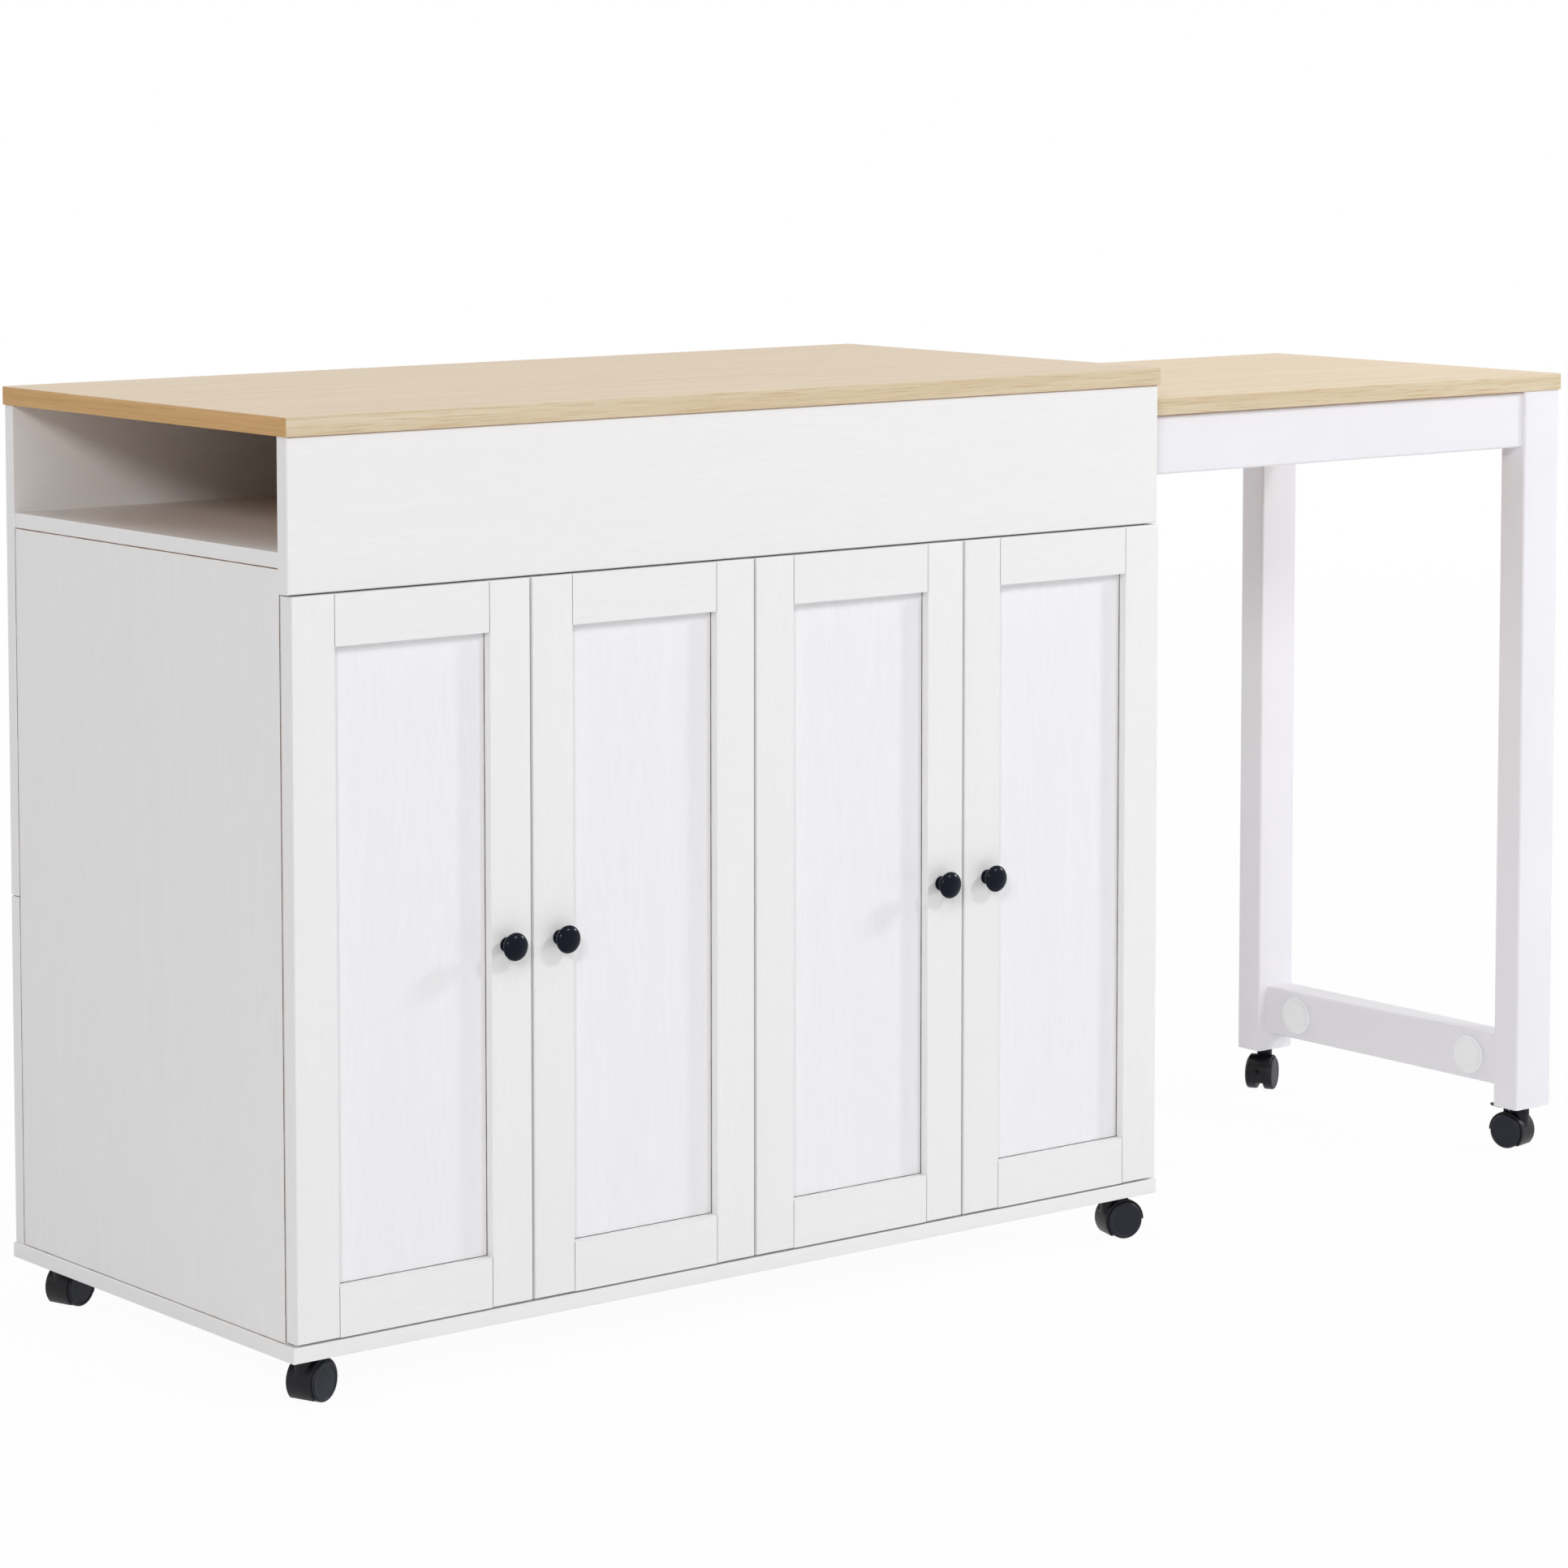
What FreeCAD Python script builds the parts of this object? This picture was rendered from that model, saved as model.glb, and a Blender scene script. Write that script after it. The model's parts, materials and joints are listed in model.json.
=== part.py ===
import FreeCAD, Part
import Sketcher
import os
import re

# Kitchen island on casters with four framed doors and a slide-out table.
# Cabinet coordinates: x from the worktop's left end, y from its front edge, z from the floor.

SIZES = {
    # worktop and carcass boards
    "overall_height": 919,
    "worktop_length": 1075,
    "worktop_depth": 512,
    "worktop_thickness": 18,
    "worktop_round": 1.5,
    "board_thickness": 15,
    "board_round": 0.8,
    "panel_inset": 3,
    "rear_inset": 1.5,
    "rear_end_inset": 2,
    "rear_lower_height": 349,
    "rear_seam": 1,
    "shelf_height": 336,
    "shelf_setback": 20,
    "shelf_pin_diameter": 5,
    "shelf_pin_reach": 8,
    "shelf_pin_depth": 7,
    "shelf_pin_inset": 50,
    # fascia across the front of the table bay
    "fascia_height": 144,
    "fascia_thickness": 16,
    "fascia_setback": 2.5,
    "fascia_end_inset": 2,
    "fascia_round": 2,
    # framed doors
    "door_end_inset": 3.5,
    "door_gap": 3,
    "door_top_gap": 1.5,
    "door_bottom_gap": 2.5,
    "door_back_gap": 2,
    "door_thickness": 18,
    "door_round": 1.5,
    "stile_width": 46,
    "rail_width": 48,
    "joint_line_width": 0.7,
    "joint_line_depth": 1.2,
    "door_panel_recess": 10,
    "door_panel_thickness": 5,
    "door_groove_depth": 5,
    "door_groove_clearance": 0.5,
    # door knobs
    "knob_edge_distance": 29,
    "knob_projection": 21,
    "knob_head_diameter": 27,
    "knob_head_thickness": 10,
    "knob_head_round": 4,
    "knob_neck_diameter": 10,
    "knob_foot_diameter": 14.6,
    "knob_foot_thickness": 3,
    # concealed hinges
    "hinge_end_distance": 90,
    "cup_diameter": 35,
    "cup_depth": 11.5,
    "cup_wall": 1,
    "cup_edge_distance": 22.5,
    "cup_flange_height": 56,
    "cup_flange_width": 16,
    "cup_flange_thickness": 1,
    "hinge_plate_height": 44,
    "hinge_plate_depth": 32,
    "hinge_plate_thickness": 2,
    "hinge_plate_setback": 14,
    "hinge_arm_height": 14,
    "hinge_arm_depth": 58,
    "hinge_arm_thickness": 10,
    "hinge_seat_gap": 0.3,
    # slide-out table
    "table_clearance": 17,
    "table_reach": 642.5,
    "table_length": 1115,
    "table_front_gap": 11.5,
    "table_rear_gap": 9.5,
    "table_thickness": 18,
    "leg_width": 56,
    "leg_depth": 36,
    "leg_inset": 1.5,
    "tube_wall": 1.5,
    "tube_round": 3,
    "apron_height": 63,
    "apron_thickness": 20,
    "apron_setback": 5.5,
    "apron_end_overhang": 10,
    "stretcher_rise": 21,
    "stretcher_height": 57,
    "stretcher_thickness": 36,
    "stretcher_setback": 14,
    "cap_diameter": 44,
    "cap_thickness": 2.5,
    "cap_round": 1,
    "cap_end_distance": 50.5,
    "glide_length": 40,
    "glide_height": 7.7,
    "glide_clearance": 0.3,
    "glide_end_distance": 25,
    "glide_spacing": 300,
    "leg_plug_height": 24,
    # casters
    "caster_height": 49,
    "caster_end_inset": 34,
    "caster_side_inset": 36,
    "caster_trail": 12,
    "wheel_diameter": 39,
    "wheel_width": 11.5,
    "wheel_round": 2,
    "wheel_gap": 0.5,
    "wheel_proud": 2.5,
    "wheel_dish_diameter": 29,
    "wheel_dish_depth": 0.8,
    "hub_diameter": 11,
    "axle_diameter": 6,
    "axle_engagement": 8,
    "hood_web": 9,
    "hood_wall": 1.9,
    "hood_round": 1,
    "hood_lip_gap": 4,
    "hood_lip_start": 13,
    "hood_web_gap": 10,
    "hood_tail_start": 7,
    "hood_socket_side": 4.5,
    "hood_socket_depth": 4,
    "hood_socket_rise": 3,
    "wheel_top_gap": 0.6,
    "boss_diameter": 18,
    "stem_diameter": 7,
    "stem_engagement": 16,
    "stem_end_gap": 0.5,
    "stem_flange_diameter": 20,
    "stem_flange_thickness": 2,
    "swivel_gap": 0.3,
    "spigot_diameter": 9,
    "spigot_length": 12,
    "running_clearance": 0.05,
    # brake levers
    "lever_width": 11,
    "lever_length": 23,
    "lever_thickness": 2,
    "lever_pivot_setback": 16,
    "lever_lift": 3.2,
    "lever_pin_diameter": 2.4,
    "lever_barrel_diameter": 4,
    "lever_side_gap": 0.4,
    "lever_lug_thickness": 2.2,
    "lever_lug_length": 5,
    # every cut runs this far past the face it opens
    "overrun": 5,
}

# Rest headings of the casters in degrees: the direction from the axle to the swivel axis.
CABINET_CASTERS = {
    "front_left": {"end": "left", "side": "front", "heading": 200, "braked": True},
    "front_right": {"end": "right", "side": "front", "heading": 164, "braked": True},
    "rear_left": {"end": "left", "side": "rear", "heading": 198, "braked": False},
    "rear_right": {"end": "right", "side": "rear", "heading": -8, "braked": False},
}
TABLE_CASTERS = {
    "table_front": {"side": "front", "heading": -77, "braked": True},
    "table_rear": {"side": "rear", "heading": 31, "braked": False},
}

TOUCH_SHARE = 0.000001

doc = FreeCAD.newDocument("kitchen_island")
sheet = doc.addObject("Spreadsheet::Sheet", "Sizes")
for row, (alias, value) in enumerate(SIZES.items(), start=1):
    sheet.set(f"A{row}", alias)
    sheet.set(f"B{row}", str(value))
    sheet.setAlias(f"B{row}", alias)
doc.recompute()

# Derived places, written as expressions of the sheet's names.
worktop_underside = "(overall_height - worktop_thickness)"
base_top = "(caster_height + board_thickness)"
carcass_front = "(fascia_setback + fascia_thickness)"
carcass_rear = "(worktop_depth - rear_inset - board_thickness)"
carcass_depth = f"({carcass_rear} - {carcass_front})"
table_height = f"({worktop_underside} - table_clearance)"
table_underside = f"({table_height} - table_thickness)"
apron_bottom = f"({table_underside} - apron_height)"
slot_top = f"({apron_bottom} - glide_height - glide_clearance)"
slot_bottom = f"({slot_top} - board_thickness)"
side_height = f"({slot_bottom} - {base_top})"
right_panel_x = "(worktop_length - panel_inset - board_thickness)"
partition_x = "((worktop_length - board_thickness) / 2)"
shelf_z = f"({base_top} + shelf_height)"
fascia_bottom = f"({worktop_underside} - fascia_height)"
door_back = f"({carcass_front} - door_back_gap)"
door_front = f"({door_back} - door_thickness)"
door_bottom = f"({base_top} + door_bottom_gap)"
door_height = f"({fascia_bottom} - door_top_gap - {door_bottom})"
door_width = "((worktop_length - 2 * door_end_inset - 3 * door_gap) / 4)"
opening_width = f"({door_width} - 2 * stile_width)"
panel_tongue = "(door_groove_depth - door_groove_clearance)"
table_end = "(worktop_length + table_reach)"
table_start = f"({table_end} - table_length)"
table_front = f"({carcass_front} + table_front_gap)"
table_rear = f"({carcass_rear} - table_rear_gap)"
table_depth = f"({table_rear} - {table_front})"
leg_x = f"({table_end} - leg_inset - leg_width)"
front_leg_y = f"({table_front} + leg_inset)"
rear_leg_y = f"({table_rear} - leg_inset - leg_depth)"
leg_height = f"({table_underside} - caster_height)"
leg_span = f"({rear_leg_y} - {front_leg_y} - leg_depth)"
frame_start = f"({table_start} + apron_end_overhang)"
apron_length = f"({leg_x} - {frame_start})"
front_apron_y = f"({table_front} + apron_setback)"
rear_apron_y = f"({table_rear} - apron_setback - apron_thickness)"
stretcher_z = "(caster_height + stretcher_rise)"
stretcher_x = f"({leg_x} + stretcher_setback)"
axle_height = "(wheel_diameter / 2)"
cavity_radius = "(wheel_diameter / 2 + wheel_top_gap)"
hood_radius = f"({cavity_radius} + hood_wall)"
hood_width = "(hood_web + 2 * (wheel_gap + wheel_width - wheel_proud))"
boss_top = "(caster_height - stem_flange_thickness - swivel_gap)"
stem_bottom = f"({boss_top} + swivel_gap - stem_engagement)"
lever_pivot_z = f"({axle_height} + {hood_radius} + lever_lift)"
lug_gap = "(lever_width + 2 * lever_side_gap)"
origin_x = f"({table_end} / 2)"
origin_y = f"((worktop_depth + {door_front} - knob_projection) / 2)"

X_AXIS = FreeCAD.Vector(1, 0, 0)
Y_AXIS = FreeCAD.Vector(0, 1, 0)
Z_AXIS = FreeCAD.Vector(0, 0, 1)
PLAIN = FreeCAD.Rotation()
ALONG_X = FreeCAD.Rotation(Y_AXIS, 90)
TO_FRONT = FreeCAD.Rotation(X_AXIS, 90)
TO_REAR = FreeCAD.Rotation(X_AXIS, -90)
ON_SIDE = {"front": TO_FRONT, "rear": TO_REAR}
nodes = []


def linked(text):
    """Prefixes each sheet name in an expression, so that it reads from the sheet."""
    return re.sub(r"[a-z][a-z_]*", lambda word: "Sizes." + word.group(0), text)


def bind(thing, **expressions):
    for name, text in expressions.items():
        thing.setExpression(name, linked(text))


def set_base(thing, x, y, z):
    for name, text in zip("xyz", (x, y, z)):
        thing.setExpression("Placement.Base." + name, linked(text))


def place(thing, x, y, z, turn=PLAIN):
    """Puts a finished sub-part in the island's frame, whose origin is under the middle of its box."""
    thing.Placement = FreeCAD.Placement(FreeCAD.Vector(), turn)
    set_base(thing, f"{x} - {origin_x}", f"{y} - {origin_y}", z)


def new_body(label):
    body = doc.addObject("PartDesign::Body", label)
    body.Label = label
    return body


def keep(thing):
    nodes.append(thing)
    return thing


def add_box(body, length, width, height, x="0", y="0", z="0", kind="Additive"):
    block = body.newObject(f"PartDesign::{kind}Box", "Block")
    bind(block, Length=length, Width=width, Height=height)
    set_base(block, x, y, z)
    return block


def add_cylinder(body, radius, height, x="0", y="0", z="0", turn=PLAIN, kind="Additive"):
    rod = body.newObject(f"PartDesign::{kind}Cylinder", "Rod")
    rod.Placement = FreeCAD.Placement(FreeCAD.Vector(), turn)
    bind(rod, Radius=radius, Height=height)
    set_base(rod, x, y, z)
    return rod


def drill(body, diameter, depth, x, y, z, turn=PLAIN):
    return add_cylinder(body, f"({diameter}) / 2", depth, x, y, z, turn, "Subtractive")


def outline(body, plane, *loops):
    """A sketch of closed straight outlines, each corner bound to its own distances from the origin."""
    sketch = body.newObject("Sketcher::SketchObject", "Outline")
    support = [item for item in body.Origin.OriginFeatures if item.Role == plane]
    sketch.AttachmentSupport = (support[0], [""])
    sketch.MapMode = "FlatFace"
    for corners in loops:
        first = sketch.GeometryCount
        spots = [FreeCAD.Vector(measure(x), measure(y), 0) for x, y in corners]
        for index, spot in enumerate(spots):
            sketch.addGeometry(Part.LineSegment(spot, spots[(index + 1) % len(spots)]), False)
        for index, (x, y) in enumerate(corners):
            line = first + index
            following = first + (index + 1) % len(corners)
            sketch.addConstraint(Sketcher.Constraint("Coincident", line, 2, following, 1))
            hold_corner(sketch, line, x, "DistanceX", -2)
            hold_corner(sketch, line, y, "DistanceY", -1)
    return sketch


def hold_corner(sketch, line, text, kind, axis):
    if text == "0":
        sketch.addConstraint(Sketcher.Constraint("PointOnObject", line, 1, axis))
        return
    number = sketch.addConstraint(Sketcher.Constraint(kind, -1, 1, line, 1, measure(text)))
    sketch.setExpression(f"Constraints[{number}]", linked(text))


def measure(text):
    """The present value of an expression in the sheet's names."""
    return float(sheet.evalExpression(linked(text)))


def pad(body, plane, length, *loops):
    sketch = outline(body, plane, *loops)
    block = body.newObject("PartDesign::Pad", "Pad")
    block.Profile = sketch
    bind(block, Length=length)
    sketch.Visibility = False
    return block


def turned(body, *profile):
    """A solid of revolution about the body's z axis, from corners given as radius and height."""
    sketch = outline(body, "XZ_Plane", profile)
    revolution = body.newObject("PartDesign::Revolution", "Turning")
    revolution.Profile = sketch
    revolution.ReferenceAxis = (sketch, ["V_Axis"])
    revolution.Angle = 360
    return revolution


def dress(body, size, chosen):
    """Rounds the edges of the body's last feature that the test chooses."""
    doc.recompute()
    tip = body.Tip
    box = tip.Shape.BoundBox
    names = [f"Edge{n}" for n, edge in enumerate(tip.Shape.Edges, start=1) if chosen(edge, box)]
    feature = body.newObject("PartDesign::Fillet", "Round")
    feature.Base = (tip, names)
    bind(feature, Radius=size)
    return feature


def near(first, second, box):
    return abs(first - second) <= TOUCH_SHARE * box.DiagonalLength


def runs_along(edge, axis):
    """True for an edge that is straight and parallel to x, y or z."""
    box = edge.BoundBox
    lengths = {"x": box.XLength, "y": box.YLength, "z": box.ZLength}
    return near(lengths[axis], box.DiagonalLength, box)


def on_front(edge, box):
    return near(edge.BoundBox.YMax, box.YMin, box)


def every_edge(edge, box):
    return True


def on_top_or_corner(edge, box):
    return near(edge.BoundBox.ZMin, box.ZMax, box) or runs_along(edge, "z")


def board(label, length, depth, height, x, y, z, round_size="board_round", chosen=on_front):
    body = new_body(label)
    add_box(body, length, depth, height)
    dress(body, round_size, chosen)
    place(body, x, y, z)
    return body


def group(label, pieces):
    """One node that holds several like pieces as separate solids."""
    bundle = doc.addObject("Part::Compound", label)
    bundle.Label = label
    bundle.Links = pieces
    return keep(bundle)


def rectangle(x_low, x_high, y_low, y_high):
    return ((x_low, y_low), (x_high, y_low), (x_high, y_high), (x_low, y_high))


def tube_section(width, height):
    inner = rectangle("tube_wall", f"{width} - tube_wall", "tube_wall", f"{height} - tube_wall")
    return rectangle("0", width, "0", height), inner


def outer_corners(axis):
    """Chooses the long outer corners of a tube that runs along the axis."""
    def chosen(edge, box):
        middle = edge.BoundBox.Center
        across = {"x": "YZ", "y": "XZ", "z": "XY"}[axis]
        places = [(getattr(middle, name.lower()), name) for name in across]
        edges_of_box = [
            near(value, getattr(box, name + "Min"), box) or near(value, getattr(box, name + "Max"), box)
            for value, name in places
        ]
        return runs_along(edge, axis) and all(edges_of_box)
    return chosen


def caster_place(end, side):
    x = {"left": "caster_end_inset", "right": "(worktop_length - caster_end_inset)"}[end]
    y = {"front": "caster_side_inset", "rear": "(worktop_depth - caster_side_inset)"}[side]
    return x, y


def leg_middle(side):
    y = {"front": front_leg_y, "rear": rear_leg_y}[side]
    return f"({leg_x} + leg_width / 2)", f"({y} + leg_depth / 2)"


# Cabinet boards

def make_base_board():
    body = board("base_board", "worktop_length", "worktop_depth", "board_thickness",
                 "0", "0", "caster_height", chosen=every_edge)
    for spot in CABINET_CASTERS.values():
        x, y = caster_place(spot["end"], spot["side"])
        drill(body, "spigot_diameter", "spigot_length", x, y, "0")
    keep(body)


def pin_places():
    return "shelf_pin_inset", f"({carcass_depth} - shelf_pin_inset)"


def make_upright(label, x, pin_faces):
    """A side or middle board, drilled for the shelf pins on the faces that look into a cupboard."""
    body = board(label, "board_thickness", carcass_depth, side_height, x, carcass_front, base_top,
                 chosen=every_edge)
    pin_z = "(shelf_height - shelf_pin_diameter / 2)"
    starts = {"right": "(board_thickness - shelf_pin_depth)", "left": "0"}
    for face in pin_faces:
        for y in pin_places():
            drill(body, "shelf_pin_diameter", "shelf_pin_depth", starts[face], y, pin_z, ALONG_X)
    keep(body)


def make_rear_boards():
    length = "worktop_length - 2 * rear_end_inset"
    upper_z = f"({base_top} + rear_lower_height + rear_seam)"
    upper_height = f"{worktop_underside} - {upper_z}"
    keep(board("rear_lower_board", length, "board_thickness", "rear_lower_height",
               "rear_end_inset", carcass_rear, base_top, chosen=every_edge))
    keep(board("rear_upper_board", length, "board_thickness", upper_height,
               "rear_end_inset", carcass_rear, upper_z, chosen=every_edge))


def make_shelves():
    length = f"{partition_x} - panel_inset - board_thickness"
    depth = f"{carcass_depth} - shelf_setback"
    shelf_y = f"({carcass_front} + shelf_setback)"
    starts = ("(panel_inset + board_thickness)", f"({partition_x} + board_thickness)")
    shelves = [board(f"shelf_{n}", length, depth, "board_thickness", x, shelf_y, shelf_z)
               for n, x in enumerate(starts, start=1)]
    group("shelves", shelves)
    pins = []
    for x in starts:
        ends = (f"({x} - shelf_pin_depth)", f"({x} + {length} - shelf_pin_reach)")
        for start in ends:
            for y in pin_places():
                pin = new_body("shelf_pin")
                add_cylinder(pin, "shelf_pin_diameter / 2", "shelf_pin_depth + shelf_pin_reach", turn=ALONG_X)
                place(pin, start, f"({carcass_front} + {y})", f"({shelf_z} - shelf_pin_diameter / 2)")
                pins.append(pin)
    group("shelf_pins", pins)


# Doors

def door_x(number):
    return f"(door_end_inset + {number - 1} * ({door_width} + door_gap))"


def hinge_heights():
    return "hinge_end_distance", f"({door_height} - hinge_end_distance)"


def make_stiles(number, hinge_side):
    groove_front = "door_panel_recess"
    groove_rear = "(door_panel_recess + door_panel_thickness)"
    stiles = []
    for side in ("left", "right"):
        body = new_body(f"door_{number}_{side}_stile")
        edge = "stile_width" if side == "left" else "0"
        outside = "0" if side == "left" else "stile_width"
        groove = "(stile_width - door_groove_depth)" if side == "left" else "door_groove_depth"
        pad(body, "XY_Plane", door_height, (
            (outside, "0"), (edge, "0"), (edge, groove_front), (groove, groove_front),
            (groove, groove_rear), (edge, groove_rear), (edge, "door_thickness"),
            (outside, "door_thickness")))
        dress(body, "door_round", on_outer_front(side))
        start = f"({door_width} - stile_width)" if side == "right" else "0"
        if side == hinge_side:
            cup_x = "cup_edge_distance" if side == "left" else "(stile_width - cup_edge_distance)"
            for z in hinge_heights():
                drill(body, "cup_diameter", "cup_depth", cup_x, "door_thickness", z, TO_FRONT)
        place(body, f"{door_x(number)} + {start}", door_front, door_bottom)
        stiles.append(body)
    group(f"door_{number}_stiles", stiles)


def on_outer_front(side):
    """Chooses a stile's outer front corner and the front edges of its ends."""
    def chosen(edge, box):
        outer = box.XMin if side == "left" else box.XMax
        corner = runs_along(edge, "z") and near(edge.BoundBox.Center.x, outer, box)
        return on_front(edge, box) and (corner or runs_along(edge, "x"))
    return chosen


def make_rails(number):
    """A door's top and bottom rails, each stepped back at its ends to leave a fine line by the stiles."""
    groove_front = "door_panel_recess"
    groove_rear = "(door_panel_recess + door_panel_thickness)"
    rails = []
    for end in ("bottom", "top"):
        body = new_body(f"door_{number}_{end}_rail")
        edge = "rail_width" if end == "bottom" else "0"
        outside = "0" if end == "bottom" else "rail_width"
        groove = "(rail_width - door_groove_depth)" if end == "bottom" else "door_groove_depth"
        pad(body, "YZ_Plane", opening_width, (
            ("0", outside), ("0", edge), (groove_front, edge), (groove_front, groove),
            (groove_rear, groove), (groove_rear, edge), ("door_thickness", edge),
            ("door_thickness", outside)))
        for x in ("-overrun", f"{opening_width} - joint_line_width"):
            add_box(body, "joint_line_width + overrun", "joint_line_depth + overrun",
                    "rail_width + 2 * overrun", x, "-overrun", "-overrun", "Subtractive")
        rise = "0" if end == "bottom" else f"({door_height} - rail_width)"
        place(body, f"{door_x(number)} + stile_width", door_front, f"{door_bottom} + {rise}")
        rails.append(body)
    group(f"door_{number}_rails", rails)


def make_door_panel(number):
    body = new_body(f"door_{number}_panel")
    width = f"{opening_width} + 2 * {panel_tongue}"
    height = f"{door_height} - 2 * rail_width + 2 * {panel_tongue}"
    add_box(body, width, "door_panel_thickness", height)
    place(body, f"{door_x(number)} + stile_width - {panel_tongue}", f"{door_front} + door_panel_recess",
          f"{door_bottom} + rail_width - {panel_tongue}")
    keep(body)


def make_knob(number, hinge_side):
    body = new_body(f"door_{number}_knob")
    head_start = "(knob_projection - knob_head_thickness)"
    foot = "knob_foot_diameter / 2"
    neck = "knob_neck_diameter / 2"
    head = "knob_head_diameter / 2"
    turned(body, ("0", "0"), (foot, "0"), (foot, "knob_foot_thickness / 2"), (neck, "knob_foot_thickness"),
           (neck, head_start), (head, head_start), (head, "knob_projection"), ("0", "knob_projection"))
    dress(body, "knob_head_round", on_head_rim)
    from_left = f"{door_width} - knob_edge_distance" if hinge_side == "left" else "knob_edge_distance"
    middle = f"{door_bottom} + {door_height} / 2"
    place(body, f"{door_x(number)} + {from_left}", door_front, middle, TO_FRONT)
    keep(body)


def on_head_rim(edge, box):
    return near(edge.BoundBox.XLength, box.XLength, box) and near(edge.BoundBox.ZLength, 0, box)


def make_cups(number, hinge_side):
    """The hinge cups in a door's back, each with a strap across its mouth where the hinge arm meets it."""
    cups = []
    for z in hinge_heights():
        body = new_body(f"door_{number}_hinge_cup")
        add_cylinder(body, "cup_diameter / 2", "cup_depth + cup_flange_thickness")
        drill(body, "cup_diameter - 2 * cup_wall", "cup_depth + cup_flange_thickness", "0", "0", "cup_wall")
        add_box(body, "cup_flange_width", "cup_flange_height", "cup_flange_thickness",
                "-cup_flange_width / 2", "-cup_flange_height / 2", "cup_depth")
        from_left = "cup_edge_distance" if hinge_side == "left" else f"{door_width} - cup_edge_distance"
        place(body, f"{door_x(number)} + {from_left}", f"{door_back} - cup_depth",
              f"{door_bottom} + {z}", TO_REAR)
        cups.append(body)
    group(f"door_{number}_hinge_cups", cups)


def make_hinge_plate(face_x, facing, z):
    """The plate and arm of one hinge, screwed to an upright's face that looks left or right."""
    body = new_body("hinge_plate")
    plate_x = "0" if facing == "right" else "-hinge_plate_thickness"
    arm_x = "hinge_plate_thickness" if facing == "right" else "-(hinge_plate_thickness + hinge_arm_thickness)"
    add_box(body, "hinge_plate_thickness", "hinge_plate_depth", "hinge_plate_height",
            plate_x, "hinge_plate_setback", "-hinge_plate_height / 2")
    add_box(body, "hinge_arm_thickness", "hinge_arm_depth", "hinge_arm_height",
            arm_x, "cup_flange_thickness + hinge_seat_gap - door_back_gap", "-hinge_arm_height / 2")
    place(body, face_x, carcass_front, f"{door_bottom} + {z}")
    return body


def make_doors():
    hinge_sides = {1: "left", 2: "right", 3: "left", 4: "right"}
    for number, side in hinge_sides.items():
        make_stiles(number, side)
        make_rails(number)
        make_door_panel(number)
        make_knob(number, side)
        make_cups(number, side)
    faces = (("(panel_inset + board_thickness)", "right"), (partition_x, "left"),
             (f"({partition_x} + board_thickness)", "right"), (right_panel_x, "left"))
    group("hinge_plates", [make_hinge_plate(x, facing, z) for x, facing in faces for z in hinge_heights()])


# Slide-out table

def make_tube(label, plane, axis, length, section, x, y, z):
    body = new_body(label)
    pad(body, plane, length, *tube_section(*section))
    dress(body, "tube_round", outer_corners(axis))
    place(body, x, y, z)
    return keep(body)


def make_table_frame():
    apron = ("apron_thickness", "apron_height")
    for side, y in (("front", front_apron_y), ("rear", rear_apron_y)):
        make_tube(f"table_{side}_apron", "YZ_Plane", "x", apron_length, apron, frame_start, y, apron_bottom)
    inner_y = f"({front_apron_y} + apron_thickness)"
    inner_span = f"({rear_apron_y} - {inner_y})"
    make_cross_tube("table_inner_rail", inner_span, apron, frame_start, inner_y, apron_bottom)
    leg_rear = f"({front_leg_y} + leg_depth)"
    end_x = f"({leg_x} + (leg_width - apron_thickness) / 2)"
    make_cross_tube("table_end_apron", leg_span, apron, end_x, leg_rear, apron_bottom)
    stretcher = ("stretcher_thickness", "stretcher_height")
    make_cross_tube("table_stretcher", leg_span, stretcher, stretcher_x, leg_rear, stretcher_z)
    for side, y in (("front", front_leg_y), ("rear", rear_leg_y)):
        make_tube(f"table_{side}_leg", "XY_Plane", "z", leg_height, ("leg_width", "leg_depth"),
                  leg_x, y, "caster_height")


def make_cross_tube(label, length, section, x, y, z):
    """A tube that runs from front to rear."""
    body = new_body(label)
    pad(body, "XZ_Plane", length, *tube_section(*section)).Reversed = True
    dress(body, "tube_round", outer_corners("y"))
    place(body, x, y, z)
    return keep(body)


def make_caps():
    places = (f"{front_leg_y} + leg_depth + cap_end_distance", f"{rear_leg_y} - cap_end_distance")
    caps = []
    for y in places:
        body = new_body("stretcher_cap")
        add_cylinder(body, "cap_diameter / 2", "cap_thickness", turn=ALONG_X)
        dress(body, "cap_round", on_cap_rim)
        place(body, f"{stretcher_x} - cap_thickness", y, f"{stretcher_z} + stretcher_height / 2")
        caps.append(body)
    group("stretcher_caps", caps)


def on_cap_rim(edge, box):
    return near(edge.BoundBox.XMax, box.XMin, box)


def make_glides():
    glides = []
    for y in (front_apron_y, rear_apron_y):
        for shift in ("0", "glide_spacing"):
            glides.append(board("table_glide", "glide_length", "apron_thickness", "glide_height",
                                f"{frame_start} + glide_end_distance + {shift}", y,
                                f"{apron_bottom} - glide_height", chosen=under_ends))
    group("table_glides", glides)


def under_ends(edge, box):
    return near(edge.BoundBox.ZMax, box.ZMin, box) and runs_along(edge, "y")


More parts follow.
